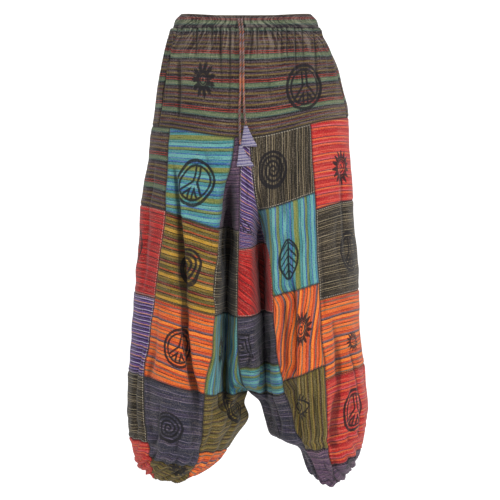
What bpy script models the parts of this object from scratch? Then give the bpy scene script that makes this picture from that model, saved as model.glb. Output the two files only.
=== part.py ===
"""Patchwork harem pants, worn form: gathered waist, yoke, patched legs, low crotch, elastic ankles.

The cloth of each leg is one surface. Around it, `ring` gives the section at a height, from the centre
front seam past the outer side to the centre back seam; above the crotch the two legs share those
seams, and below it each leg's ring closes on its own inseam. Down it run 29 lines, and every patch is
a wall between two column seams and two of those lines.
+Z is up, the wearer faces -Y, and the origin is the middle of the waistband's opening.
"""

import math
from collections import namedtuple

import bpy
import numpy as np

# --- driving sizes, in metres ------------------------------------------------------------------------
WALL = 0.0015  # cloth, seam to seam
GAP = 0.0003  # between two pieces at a seam
RELIEF = 0.0015  # how much further a panel's corners stand back, each way
MOST_RELIEF = 0.15  # of the facet's side
BAND_HEIGHT = 0.028  # elastic casing at the waist
BAND_WALL = 0.0035  # two layers of cloth on the elastic
BAND_SAG = 0.007  # how much lower its top edge is at the centre front
CUFF_HEIGHT = 0.022
CUFF_WALL = 0.003
CORD_DIAMETER = 0.005
TASSEL_HEIGHT = 0.042
TASSEL_WIDTH = 0.034
TASSEL_DEPTH = 0.008
POCKET_FIRST = 1  # the line where a pocket's mouth starts; it ends at the yoke's lower seam
POCKET_GAPE = 0.006  # how far the mouth stands open
POCKET_LIFT = 0.6  # how much of that it stands off the hip
FACING_REACH = 0.03  # how far a pocket's facing goes under the yoke's back, and half that under its front

YOKE_LAST = 6  # the line of the yoke's lower seam
CROTCH = 21  # the line where the two legs part
HEM = 29  # the line where a leg meets its cuff

# --- sections ----------------------------------------------------------------------------------------
# drop is how far below the waistband's top edge. A line is lower at the centre (drop_in) than at the
# side (drop_out). x is measured outwards, towards the leg's own side; x_in is the leg's inner edge.
# open is the angle where the ring starts: 90 for half a torso, 0 for a closed leg.
Torso = namedtuple("Torso", "line drop_in open front back seam_x")
TORSO = (
    Torso(0, 0.030, 90, 0.100, 0.104, 0.010),
    Torso(3, 0.135, 90, 0.120, 0.130, 0.010),
    Torso(6, 0.252, 88, 0.134, 0.142, 0.012),
    Torso(8, 0.328, 82, 0.140, 0.147, 0.015),
    Torso(11, 0.442, 75, 0.146, 0.152, 0.018),
    Torso(14, 0.550, 66, 0.150, 0.154, 0.021),
    Torso(16, 0.618, 60, 0.151, 0.155, 0.022),
    Torso(18, 0.690, 53, 0.152, 0.155, 0.020),
    Torso(19, 0.725, 45, 0.152, 0.154, 0.017),
    Torso(20, 0.762, 30, 0.151, 0.152, 0.010),
    Torso(21, 0.786, 0, 0.150, 0.150, -0.001),
)

# The seams' places across the front: valley is the bottom of the deep fold beside the crotch's hanging
# bag, main the seam between the crotch column and the front column, side the one before the side column.
Outline = namedtuple("Outline", "line drop_out x_out x_valley x_main x_side")
RIGHT_OUTLINE = (
    Outline(0, 0.030, 0.154, 0.020, 0.026, 0.110),
    Outline(3, 0.128, 0.182, 0.018, 0.024, 0.150),
    Outline(6, 0.232, 0.197, 0.019, 0.026, 0.160),
    Outline(9, 0.329, 0.211, 0.031, 0.044, 0.165),
    Outline(11, 0.395, 0.220, 0.038, 0.056, 0.168),
    Outline(16, 0.576, 0.237, 0.046, 0.066, 0.190),
    Outline(19, 0.672, 0.244, 0.050, 0.072, 0.204),
    Outline(21, 0.740, 0.249, 0.052, 0.076, 0.210),
    Outline(23, 0.808, 0.251, 0.046, 0.082, 0.210),
    Outline(25, 0.878, 0.245, 0.070, 0.096, 0.206),
    Outline(27, 0.935, 0.230, 0.104, 0.122, 0.196),
    Outline(28, 0.951, 0.214, 0.116, 0.132, 0.192),
    Outline(29, 0.940, 0.200, 0.128, 0.138, 0.184),
)
LEFT_OUTLINE = (
    Outline(0, 0.030, 0.148, -0.002, 0.005, 0.100),
    Outline(3, 0.122, 0.189, -0.003, 0.004, 0.122),
    Outline(6, 0.214, 0.208, -0.003, 0.005, 0.128),
    Outline(9, 0.315, 0.216, 0.005, 0.015, 0.135),
    Outline(11, 0.385, 0.219, 0.016, 0.028, 0.139),
    Outline(13, 0.460, 0.225, 0.028, 0.046, 0.143),
    Outline(16, 0.572, 0.232, 0.034, 0.053, 0.148),
    Outline(19, 0.664, 0.239, 0.037, 0.058, 0.151),
    Outline(21, 0.728, 0.243, 0.042, 0.066, 0.153),
    Outline(23, 0.800, 0.249, 0.056, 0.080, 0.158),
    Outline(25, 0.868, 0.244, 0.104, 0.118, 0.166),
    Outline(27, 0.925, 0.227, 0.132, 0.142, 0.180),
    Outline(28, 0.944, 0.216, 0.138, 0.152, 0.188),
    Outline(29, 0.936, 0.202, 0.146, 0.157, 0.184),
)

# Below the crotch each leg has its own inseam, depth and dip, which is how much lower its front hangs.
Shin = namedtuple("Shin", "line drop_in x_in front back dip")
RIGHT_SHIN = (
    Shin(22, 0.810, 0.005, 0.148, 0.146, 0.000),
    Shin(23, 0.838, -0.004, 0.144, 0.142, 0.000),
    Shin(24, 0.872, 0.018, 0.138, 0.136, 0.000),
    Shin(25, 0.902, 0.044, 0.128, 0.126, 0.002),
    Shin(26, 0.926, 0.062, 0.112, 0.112, 0.006),
    Shin(27, 0.944, 0.084, 0.090, 0.094, 0.012),
    Shin(28, 0.952, 0.102, 0.066, 0.072, 0.014),
    Shin(29, 0.940, 0.120, 0.040, 0.044, 0.000),
)
LEFT_SHIN = (
    Shin(22, 0.808, 0.024, 0.148, 0.146, 0.000),
    Shin(23, 0.842, 0.035, 0.144, 0.142, 0.000),
    Shin(24, 0.876, 0.048, 0.136, 0.134, 0.004),
    Shin(25, 0.890, 0.092, 0.126, 0.124, 0.010),
    Shin(26, 0.910, 0.112, 0.110, 0.110, 0.022),
    Shin(27, 0.928, 0.118, 0.088, 0.090, 0.030),
    Shin(28, 0.943, 0.126, 0.064, 0.066, 0.030),
    Shin(29, 0.936, 0.137, 0.036, 0.038, 0.000),
)

# The cloth is creased along the crotch's lowest stretch: slope is how fast it opens out from there.
Crease = namedtuple("Crease", "line slope")
CREASES = (
    Crease(0, 0.0), Crease(18, 0.0), Crease(20, 0.45), Crease(22, 0.45), Crease(26, 0.0), Crease(29, 0.0),
)
CREASE_REACH = 0.035

# The waistband's section: how far in from the yoke's top line it is, at each drop from its top edge.
Band = namedtuple("Band", "drop inset")
BAND_PROFILE = (Band(0.0, 0.0150), Band(0.0130, 0.0065), Band(BAND_HEIGHT + 0.0013, 0.0005))

# --- folds -------------------------------------------------------------------------------------------
# A fold runs down the front (face -1) or the back (face 1), from x at its first line to x at its last,
# with x positive towards the wearer's left. share is how much of the depth it takes off, and a negative
# share is a ridge. It comes in over `fade` lines and goes out the same way.
Fold = namedtuple("Fold", "name face first last fade x_first x_last width share")
FOLDS = (
    Fold("valley_right_front", -1, 7, 23, 5.0, -0.036, -0.050, 0.0125, 0.78),
    Fold("valley_left_front", -1, 8, 23, 5.0, 0.022, 0.042, 0.0130, 0.70),
    Fold("valley_right_back", 1, 7, 23, 5.0, -0.036, -0.050, 0.014, 0.62),
    Fold("valley_left_back", 1, 8, 23, 5.0, 0.022, 0.042, 0.014, 0.58),
    Fold("knee_right_front", -1, 9, 26, 5.0, -0.150, -0.092, 0.014, 0.10),
    Fold("thigh_right_front", -1, 6, 17, 4.0, -0.176, -0.150, 0.020, -0.07),
    Fold("side_right_front", -1, 12, 28, 5.0, -0.200, -0.206, 0.012, 0.12),
    Fold("knee_left_front", -1, 13, 25, 4.0, 0.076, 0.086, 0.012, 0.12),
    Fold("shin_left_front", -1, 15, 28, 4.0, 0.196, 0.176, 0.014, 0.11),
    Fold("thigh_left_front", -1, 6, 18, 4.0, 0.100, 0.120, 0.022, -0.05),
    Fold("knee_right_back", 1, 8, 26, 5.0, -0.130, -0.112, 0.017, 0.12),
    Fold("side_right_back", 1, 12, 28, 5.0, -0.190, -0.196, 0.014, 0.10),
    Fold("knee_left_back", 1, 8, 26, 5.0, 0.118, 0.106, 0.016, 0.13),
    Fold("shin_left_back", 1, 13, 28, 5.0, 0.176, 0.168, 0.014, 0.11),
)

# --- columns and patches -----------------------------------------------------------------------------
# Each step from one guide line to the next holds this many facets; the yoke's side seam is at "seam".
GUIDES = ("centre", "valley", "main", "side", "seam", "back_side", "back_main", "back_valley", "back")
FACETS = (3, 3, 4, 3, 3, 4, 3, 3)
STARTS = tuple(sum(FACETS[:i]) for i in range(len(GUIDES)))
AROUND = STARTS[-1]
FINE = 24  # points between two guides before they are spaced evenly
AT = dict(zip(GUIDES, STARTS))

Column = namedtuple("Column", "name first last")
COLUMNS = (
    Column("crotch_front", AT["centre"], AT["main"]),
    Column("front", AT["main"], AT["side"]),
    Column("side", AT["side"], AT["back_side"]),
    Column("back", AT["back_side"], AT["back_main"]),
    Column("crotch_back", AT["back_main"], AT["back"]),
)

Leg = namedtuple("Leg", "name side outline shin seams pocket")
RIGHT = Leg(
    "right",
    -1,
    RIGHT_OUTLINE,
    RIGHT_SHIN,
    {
        "crotch_front": (6, 11, 16, 21, 25, 29),
        "front": (6, 11, 16, 21, 26, 29),
        "side": (6, 11, 16, 21, 25, 29),
        "back": (6, 12, 17, 23, 29),
        "crotch_back": (6, 12, 17, 21, 29),
    },
    0.92,
)
LEFT = Leg(
    "left",
    1,
    LEFT_OUTLINE,
    LEFT_SHIN,
    {
        "crotch_front": (6, 12, 16, 19, 21, 29),
        "front": (6, 10, 15, 20, 25, 29),
        "side": (6, 11, 16, 21, 26, 29),
        "back": (6, 11, 17, 23, 29),
        "crotch_back": (6, 11, 16, 21, 29),
    },
    0.985,
)
LEGS = (RIGHT, LEFT)

# --- colours -----------------------------------------------------------------------------------------
COLOURS = {
    "yoke": (0.17, 0.15, 0.12),
    "teal": (0.19, 0.36, 0.36),
    "mustard": (0.38, 0.30, 0.10),
    "orange": (0.66, 0.25, 0.07),
    "slate": (0.12, 0.11, 0.16),
    "ebony": (0.10, 0.08, 0.06),
    "rose": (0.56, 0.10, 0.09),
    "plum": (0.16, 0.11, 0.17),
    "scarlet": (0.55, 0.05, 0.05),
    "moss": (0.21, 0.17, 0.06),
    "violet": (0.23, 0.16, 0.30),
    "lilac": (0.50, 0.47, 0.60),
    "cord": (0.42, 0.30, 0.24),
}
CLOTHS = {
    "right": {
        "crotch_front": ("plum", "ebony", "teal", "moss", "orange"),
        "front": ("teal", "mustard", "orange", "slate", "moss"),
        "side": ("yoke", "scarlet", "violet", "ebony", "rose"),
        "back": ("mustard", "slate", "rose", "teal"),
        "crotch_back": ("orange", "violet", "scarlet", "moss"),
    },
    "left": {
        "crotch_front": ("violet", "scarlet", "slate", "teal", "slate"),
        "front": ("ebony", "teal", "orange", "moss", "plum"),
        "side": ("rose", "ebony", "orange", "rose", "plum"),
        "back": ("violet", "mustard", "slate", "orange"),
        "crotch_back": ("moss", "rose", "teal", "plum"),
    },
}


# --- curves ------------------------------------------------------------------------------------------
def smooth_through(lines, values, line):
    """The value at `line` of a smooth curve that never overshoots its rows."""
    lines = np.asarray(lines, float)
    values = np.asarray(values, float)
    steps = np.diff(lines)
    slopes = np.diff(values) / steps
    tangents = np.zeros(len(lines))
    for i in range(1, len(lines) - 1):
        before, after = slopes[i - 1], slopes[i]
        if before * after > 0:
            tangents[i] = 2 * before * after / (before + after)
    tangents[0], tangents[-1] = slopes[0], slopes[-1]
    i = int(np.clip(np.searchsorted(lines, line, side="right") - 1, 0, len(lines) - 2))
    t = float(np.clip((line - lines[i]) / steps[i], 0, 1))
    start = (1 + 2 * t) * (1 - t) ** 2 * values[i] + t * (1 - t) ** 2 * steps[i] * tangents[i]
    end = t * t * (3 - 2 * t) * values[i + 1] - t * t * (1 - t) * steps[i] * tangents[i + 1]
    return start + end


def smoothstep(t):
    t = min(1.0, max(0.0, t))
    return t * t * (3 - 2 * t)


def column_of(rows, name, line):
    return smooth_through([r.line for r in rows], [getattr(r, name) for r in rows], line)


# --- the surface -------------------------------------------------------------------------------------
def section(leg, line):
    """The sizes of a leg's ring at a line, as one dict."""
    sizes = {
        name: column_of(leg.outline, name, line)
        for name in ("drop_out", "x_out", "x_valley", "x_main", "x_side")
    }
    # The torso's rows run on into the shin's, so that the cloth is smooth past the crotch.
    shared = [
        (r.line, r.drop_in, -leg.side * r.seam_x, r.front, r.back, 0.0, r.open) for r in TORSO
    ] + [(r.line, r.drop_in, r.x_in, r.front, r.back, r.dip, 0.0) for r in leg.shin]
    rows = list(zip(*shared))
    for name, values in zip(("drop_in", "x_in", "front", "back", "dip", "open"), rows[1:]):
        sizes[name] = smooth_through(rows[0], values, line)
    sizes["crease"] = column_of(CREASES, "slope", line)
    start = math.radians(sizes["open"])
    sizes["start"] = start
    sizes["half_width"] = (sizes["x_out"] - sizes["x_in"]) / (1 + math.cos(start))
    sizes["middle"] = sizes["x_out"] - sizes["half_width"]
    return sizes


def fold_share(x, face, line):
    """How much of the depth the folds take off at signed x."""
    kept = 1.0
    for fold in FOLDS:
        if fold.face != face or not fold.first < line < fold.last:
            continue
        along = (line - fold.first) / (fold.last - fold.first)
        fade = smoothstep((line - fold.first) / fold.fade)
        fade *= smoothstep((fold.last - line) / min(fold.fade, 2.5))
        centre = fold.x_first + (fold.x_last - fold.x_first) * along
        kept *= 1 - fold.share * fade * math.exp(-(((x - centre) / fold.width) ** 2))
    return kept


def ring_point(leg, sizes, line, angle):
    """A point of the ring: angle 0 faces the other leg, 90 degrees the front, 180 the outer side."""
    across = sizes["middle"] - sizes["half_width"] * math.cos(angle)
    front = angle < math.pi
    depth = sizes["front"] if front else sizes["back"]
    y = -depth * math.sin(angle)
    past_seam = min(max(0.0, abs(y) - depth * math.sin(sizes["start"])), CREASE_REACH)
    across += sizes["crease"] * past_seam * (1 + math.cos(angle)) / 2
    x = leg.side * across
    y *= fold_share(x, -1 if front else 1, line)
    outwards = (math.cos(sizes["start"]) - math.cos(angle)) / (1 + math.cos(sizes["start"]))
    drop = sizes["drop_in"] + (sizes["drop_out"] - sizes["drop_in"]) * smoothstep(outwards)
    if front:
        drop += sizes["dip"] * math.sin(angle) ** 2
    return (x, y, BAND_HEIGHT / 2 - drop)


def guide_angles(leg, sizes):
    """The ring's angle at each guide line, from the centre front to the centre back."""

    def angle_at(across):
        ratio = (sizes["middle"] - across) / sizes["half_width"]
        return math.acos(min(1.0, max(-1.0, ratio)))

    front = [sizes["start"]] + [angle_at(sizes[k]) for k in ("x_valley", "x_main", "x_side")]
    seam = math.pi - math.acos(leg.pocket)
    return front + [seam] + [2 * math.pi - a for a in reversed(front)]


def evenly(points, count):
    """count + 1 points spaced evenly along a polyline."""
    points = np.array(points)
    steps = np.linalg.norm(np.diff(points, axis=0), axis=1)
    along = np.concatenate([[0], np.cumsum(steps)])
    at = np.linspace(0, along[-1], count + 1)
    return np.stack([np.interp(at, along, points[:, k]) for k in range(3)], axis=1)


def ring(leg, line):
    """The points of a leg's ring at a line, AROUND + 1 of them."""
    sizes = section(leg, line)
    angles = guide_angles(leg, sizes)
    found = []
    for first, last, count in zip(angles, angles[1:], FACETS):
        fine = [
            ring_point(leg, sizes, line, first + (last - first) * i / FINE) for i in range(FINE + 1)
        ]
        found.extend(evenly(fine, count)[: None if last == angles[-1] else -1])
    return np.array(found)


def leg_grid(leg):
    return np.array([ring(leg, line) for line in range(HEM + 1)])


def unit(vectors):
    return vectors / np.maximum(np.linalg.norm(vectors, axis=-1, keepdims=True), 1e-12)


def facet_normals(grid, side):
    """The outward normal of each facet of a leg's grid."""
    falling = grid[1:, 1:] - grid[:-1, :-1]
    rising = grid[1:, :-1] - grid[:-1, 1:]
    return unit(np.cross(falling, rising)) * -side


def shared_normals(grids):
    """Each grid's normals, the mean of the facets around a point. Points of both legs in one place get
    one normal, so that no wall leans into another across a seam."""
    totals = {}
    for leg, grid in zip(LEGS, grids):
        facets = facet_normals(grid, leg.side)
        for (r, c), point in ((at, grid[at]) for at in np.ndindex(grid.shape[:2])):
            around = facets[max(0, r - 1) : r + 1, max(0, c - 1) : c + 1].reshape(-1, 3)
            key = tuple(np.round(point, 6))
            totals[key] = totals.get(key, 0) + around.sum(axis=0)
    found = []
    for grid in grids:
        sums = [totals[tuple(np.round(point, 6))] for point in grid.reshape(-1, 3)]
        found.append(unit(np.array(sums)).reshape(grid.shape))
    return found


# --- solids ------------------------------------------------------------------------------------------
def material(name):
    found = bpy.data.materials.get(name) or bpy.data.materials.new(name)
    found.use_nodes = True
    shader = found.node_tree.nodes["Principled BSDF"]
    shader.inputs["Base Color"].default_value = (*COLOURS[name], 1)
    shader.inputs["Roughness"].default_value = 0.85
    shader.inputs["Metallic"].default_value = 0.0
    return found


def add_object(name, points, faces, cloth):
    mesh = bpy.data.meshes.new(name)
    mesh.from_pydata([tuple(p) for p in points], [], faces)
    mesh.update()
    made = bpy.data.objects.new(name, mesh)
    made.data.materials.append(material(cloth))
    garment.objects.link(made)
    return made


def wall(name, outer, inner, cloth, closed=False):
    """A closed wall between two grids of points, rows down and columns to the viewer's right.
    closed joins its last column to its first."""
    rows, columns = outer.shape[:2]
    points = np.concatenate([outer.reshape(-1, 3), inner.reshape(-1, 3)])
    size = rows * columns
    faces = []

    def at(row, column, side):
        return side * size + row * columns + column % columns

    def rim(first, last, turned):
        """Two triangles from the outer grid's edge to the inner one's, cut alike on every piece."""
        ends = (at(*first, 0), at(*last, 0), at(*last, 1), at(*first, 1))
        for corners in ((ends[0], ends[1], ends[2]), (ends[0], ends[2], ends[3])):
            faces.append(corners[::-1] if turned else corners)

    spans = columns if closed else columns - 1
    for r in range(rows - 1):
        for c in range(spans):
            # Both faces of the wall are cut along the same diagonal, or a twisted facet would cross itself.
            for last in ((r + 1, c), (r, c + 1)):
                corners = [(r, c), last, (r + 1, c + 1)]
                turned = last[0] == r
                faces.append([at(*p, 0) for p in (reversed(corners) if turned else corners)])
                faces.append([at(*p, 1) for p in (corners if turned else reversed(corners))])
    for c in range(spans):
        rim((0, c), (0, c + 1), False)
        rim((rows - 1, c), (rows - 1, c + 1), True)
    if not closed:
        for r in range(rows - 1):
            rim((r, 0), (r + 1, 0), True)
            rim((r, columns - 1), (r + 1, columns - 1), False)
    add_object(name, points, faces, cloth)


def square_to(edge, beside):
    """Unit steps from an edge's points towards the line of points beside it, square to the edge."""
    along = unit(np.gradient(edge, axis=0))
    step = beside - edge
    return unit(step - along * (step * along).sum(axis=1, keepdims=True))


def trimmed(grid):
    """The grid with all four edges moved in by half a gap, and its corners further."""
    moved = grid.copy()
    half = GAP / 2
    for r, c in ((0, 0), (0, -1), (-1, 0), (-1, -1)):
        for other in (grid[r, 1 if c == 0 else -2], grid[1 if r == 0 else -2, c]):
            step = other - grid[r, c]
            moved[r, c] += unit(step) * min(RELIEF, MOST_RELIEF * np.linalg.norm(step))
    moved[:, 0] += square_to(grid[:, 0], grid[:, 1]) * half
    moved[:, -1] += square_to(grid[:, -1], grid[:, -2]) * half
    moved[0] += square_to(grid[0], grid[1]) * half
    moved[-1] += square_to(grid[-1], grid[-2]) * half
    return moved


def panel(name, grid, normals, cloth):
    """A piece of cloth whose outer face is the grid, and whose wall goes in from there."""
    outer = trimmed(grid)
    wall(name, outer, outer - normals * WALL, cloth)


def build_patches(leg, grid, normals):
    for column in COLUMNS:
        seams = leg.seams[column.name]
        cloths = CLOTHS[leg.name][column.name]
        across = slice(column.first, column.last + 1)
        for row, (first, last, cloth) in enumerate(zip(seams, seams[1:], cloths), start=1):
            down = slice(first, last + 1)
            points, out = grid[down, across], normals[down, across]
            if leg.side < 0:
                points, out = points[:, ::-1], out[:, ::-1]
            panel(f"{leg.name}_{column.name}_{row}", points, out, cloth)


def build_yoke(grids, normals):
    """The yoke's front and back, each from one pocket seam to the other, and the facing in each pocket."""
    seam = AT["seam"]
    rows = slice(0, YOKE_LAST + 1)
    right, left = grids
    right_out, left_out = normals
    front = np.concatenate([right[rows, seam:0:-1], left[rows, : seam + 1]], axis=1)
    front_out = np.concatenate([right_out[rows, seam:0:-1], left_out[rows, : seam + 1]], axis=1)
    back = np.concatenate([left[rows, seam:-1], right[rows, : seam - 1 : -1]], axis=1)
    back_out = np.concatenate([left_out[rows, seam:-1], right_out[rows, : seam - 1 : -1]], axis=1)
    lines = np.arange(YOKE_LAST + 1)
    mouth = np.sin(math.pi * np.clip((lines - POCKET_FIRST) / (YOKE_LAST - POCKET_FIRST), 0, 1))
    for edge, inner in ((0, 1), (-1, -2)):
        away = unit(front[:, inner] - front[:, edge])
        front[:, edge] += (away + front_out[:, edge] * POCKET_LIFT) * (mouth * POCKET_GAPE)[:, None]
    panel("yoke_front", front, front_out, "yoke")
    panel("yoke_back", back, back_out, "yoke")
    for leg, grid, out in zip(LEGS, grids, normals):
        build_facing(leg, grid, out, seam)


def build_facing(leg, grid, out, seam):
    """The strip that shows in a pocket's mouth, just inside the yoke."""
    rows = slice(POCKET_FIRST, YOKE_LAST + 1)
    under = WALL + 2 * GAP
    middle = grid[rows, seam] - out[rows, seam] * under
    before = grid[rows, seam - 1] - out[rows, seam - 1] * under
    after = grid[rows, seam + 1] - out[rows, seam + 1] * under
    forwards = middle + unit(before - middle) * FACING_REACH / 2
    backwards = middle + unit(after - middle) * FACING_REACH
    points = np.stack([forwards, middle, backwards], axis=1)
    normal = np.repeat(out[rows, seam][:, None], 3, axis=1)
    if leg.side < 0:
        points = points[:, ::-1]
    panel(f"{leg.name}_pocket_facing", points, normal, "yoke")


def closed_ring(leg_rings):
    """The right leg's ring from the side round the front, then the left's: one ring of the whole waist."""
    right, left = leg_rings
    return np.concatenate([right[:0:-1], left[:-1]])


def build_waistband(grids):
    """The elastic casing: a ring that leans in to the waist and swells a little between its edges."""
    base = closed_ring([g[0] for g in grids])
    centre = base.mean(axis=0) * (1, 1, 0)
    out = unit((base - centre) * (1, 1, 0))
    frontness = np.clip(-base[:, 1] / base[:, 1].max(), 0, 1) ** 3
    outer, inner = [], []
    for drop, inset in BAND_PROFILE:
        level = base * (1, 1, 0) + np.array((0, 0, BAND_HEIGHT / 2 - drop)) - out * inset
        level[:, 2] -= frontness * BAND_SAG * (1 - drop / BAND_PROFILE[-1].drop)
        outer.append(level)
        inner.append(level - out * BAND_WALL)
    wall("waistband", np.array(outer), np.array(inner), "yoke", closed=True)


def build_cuff(leg, grid):
    """The ankle's elastic casing, which hangs from the hem inside the billow of the leg."""
    hem = grid[HEM][:-1]
    centre = hem.mean(axis=0) * (1, 1, 0)
    out = unit((hem - centre) * (1, 1, 0))
    top = hem[:, 2].max()
    rings = []
    for drop in (0.0, CUFF_HEIGHT):
        rings.append(hem * (1, 1, 0) + np.array((0, 0, top - GAP - WALL - drop)))
    outer = np.array(rings)
    inner = outer - out[None] * CUFF_WALL
    if leg.side < 0:
        outer, inner = outer[:, ::-1], inner[:, ::-1]
    wall(f"{leg.name}_cuff", outer, inner, "ebony", closed=True)


# --- drawstring --------------------------------------------------------------------------------------
# x and drop of each free end's route, down the front of the yoke; off is its distance from the cloth.
CordPoint = namedtuple("CordPoint", "x drop off")
CORD_ROUTES = {
    "short": (
        CordPoint(-0.0120, 0.013, -0.0034),
        CordPoint(-0.0112, 0.022, 0.0015),
        CordPoint(-0.0090, 0.040, 0.0070),
        CordPoint(-0.0085, 0.090, 0.0045),
        CordPoint(-0.0082, 0.140, 0.0045),
        CordPoint(-0.0072, 0.180, 0.0045),
        CordPoint(-0.0060, 0.205, 0.0075),
        CordPoint(-0.0035, 0.226, 0.0115),
    ),
    "long": (
        CordPoint(-0.0182, 0.013, -0.0034),
        CordPoint(-0.0170, 0.022, 0.0015),
        CordPoint(-0.0146, 0.040, 0.0065),
        CordPoint(-0.0141, 0.090, 0.0045),
        CordPoint(-0.0143, 0.150, 0.0045),
        CordPoint(-0.0160, 0.200, 0.0045),
        CordPoint(-0.0156, 0.235, 0.0080),
        CordPoint(-0.0140, 0.266, 0.0115),
    ),
}
CORD_STEP = 0.015


def front_y(grids, x, drop):
    """The cloth's y at a place on the front, between the grid's points."""
    right, left = grids
    rows = slice(0, YOKE_LAST + 3)
    z = BAND_HEIGHT / 2 - drop
    seam = AT["side"]
    across = np.concatenate([right[rows, seam:0:-1], left[rows, :seam]], axis=1)
    heights, depths = [], []
    for row in across:
        heights.append(np.interp(x, row[:, 0], row[:, 2]))
        depths.append(np.interp(x, row[:, 0], row[:, 1]))
    return float(np.interp(-z, -np.array(heights), depths))


def smooth_route(points, step):
    """Points along a smooth curve through the route's own points, about `step` apart."""
    points = np.array(points)
    chords = np.linalg.norm(np.diff(points, axis=0), axis=1)
    knots = np.concatenate([[0], np.cumsum(chords)])
    count = max(2, round(knots[-1] / step))
    at = np.linspace(0, knots[-1], count + 1)
    return [[smooth_through(knots, points[:, k], t) for k in range(3)] for t in at]


def build_cord(name, grids):
    route = [
        (p.x, front_y(grids, p.x, p.drop) - p.off, BAND_HEIGHT / 2 - p.drop) for p in CORD_ROUTES[name]
    ]
    curve = bpy.data.curves.new(f"drawstring_{name}", "CURVE")
    curve.dimensions = "3D"
    curve.bevel_depth = CORD_DIAMETER / 2
    curve.bevel_resolution = 2
    curve.use_fill_caps = True
    points = smooth_route(route, CORD_STEP)
    spline = curve.splines.new("POLY")
    spline.points.add(len(points) - 1)
    for target, point in zip(spline.points, points):
        target.co = (*point, 1)
    made = bpy.data.objects.new(f"drawstring_{name}", curve)
    made.data.materials.append(material("cord"))
    garment.objects.link(made)
    return points[-1]


# A tassel's section at each share of its height: its width and depth as shares of its greatest.
TasselRow = namedtuple("TasselRow", "down width depth")
TASSEL_ROWS = (
    TasselRow(0.00, 0.22, 0.60),
    TasselRow(0.30, 0.42, 1.00),
    TasselRow(0.72, 0.78, 1.00),
    TasselRow(0.94, 1.00, 0.70),
    TasselRow(1.00, 0.97, 0.25),
)
TASSEL_AROUND = 10
Tassel = namedtuple("Tassel", "name lean")
TASSELS = (Tassel("short", 0.006), Tassel("long", 0.010))  # lean is how far its foot hangs to the left


def build_tassel(tassel, end):
    """A folded triangle of cloth sewn to a cord's end: narrow at the top, a pillow across its foot."""
    points = []
    top = end[2] - CORD_DIAMETER / 2 - GAP
    for down, width, depth in TASSEL_ROWS:
        for i in range(TASSEL_AROUND):
            angle = 2 * math.pi * i / TASSEL_AROUND
            x = math.cos(angle) * TASSEL_WIDTH / 2 * width + tassel.lean * down
            y = -math.sin(angle) * TASSEL_DEPTH / 2 * depth
            points.append((end[0] + x, end[1] + y, top - down * TASSEL_HEIGHT))
    faces = [list(reversed(range(TASSEL_AROUND)))]
    for r in range(len(TASSEL_ROWS) - 1):
        for i in range(TASSEL_AROUND):
            a, b = r * TASSEL_AROUND + i, r * TASSEL_AROUND + (i + 1) % TASSEL_AROUND
            faces.append([a, b, b + TASSEL_AROUND, a + TASSEL_AROUND])
    faces.append([(len(TASSEL_ROWS) - 1) * TASSEL_AROUND + i for i in range(TASSEL_AROUND)])
    add_object(f"tassel_{tassel.name}", points, faces, "lilac")


def clear_scene():
    for old in list(bpy.data.objects):
        bpy.data.objects.remove(old)


clear_scene()
garment = bpy.data.collections.new("harem_pants")
bpy.context.scene.collection.children.link(garment)

leg_grids = [leg_grid(leg) for leg in LEGS]
leg_normals = shared_normals(leg_grids)
for each_leg, each_grid, each_normals in zip(LEGS, leg_grids, leg_normals):
    build_patches(each_leg, each_grid, each_normals)
    build_cuff(each_leg, each_grid)
build_yoke(leg_grids, leg_normals)
build_waistband(leg_grids)
for each_tassel in TASSELS:
    build_tassel(each_tassel, build_cord(each_tassel.name, leg_grids))
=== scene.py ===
"""The looks of the patchwork harem pants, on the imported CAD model.

Each CAD piece of cloth is replaced by a thin shell on the same form, at a finer pitch, with its creases,
gathers and sewn edges. Its stripes and block prints are drawn by nodes in the cloth's own plane, whose
UV map is in metres: U across the piece and V down it. The form's tables are those of the CAD model.
"""

import math
from collections import namedtuple

import bpy
import numpy as np
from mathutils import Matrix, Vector, noise


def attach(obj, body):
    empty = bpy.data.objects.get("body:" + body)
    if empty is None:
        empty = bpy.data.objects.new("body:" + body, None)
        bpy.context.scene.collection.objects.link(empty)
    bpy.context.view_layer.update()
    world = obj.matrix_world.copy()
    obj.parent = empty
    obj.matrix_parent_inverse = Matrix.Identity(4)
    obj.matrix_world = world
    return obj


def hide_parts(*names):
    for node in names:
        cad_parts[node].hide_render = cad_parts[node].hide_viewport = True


# --- driving sizes, in metres ------------------------------------------------------------------------
BAND_HEIGHT = 0.028
BAND_WALL = 0.0035
BAND_SAG = 0.007
CUFF_HEIGHT = 0.022
CUFF_WALL = 0.003
CORD_DIAMETER = 0.005
TASSEL_HEIGHT = 0.042
TASSEL_WIDTH = 0.034
TASSEL_DEPTH = 0.008
POCKET_GAPE = 0.006
WALL = 0.0015
GAP = 0.0003
CLOTH = 0.0009  # the thickness that shows at an open edge

YOKE_LAST = 6
CROTCH = 21
HEM = 29
PER_FACET = 10  # shell columns to a facet of the CAD model
PER_LINE = 8  # shell rows to a line of the CAD model

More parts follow.
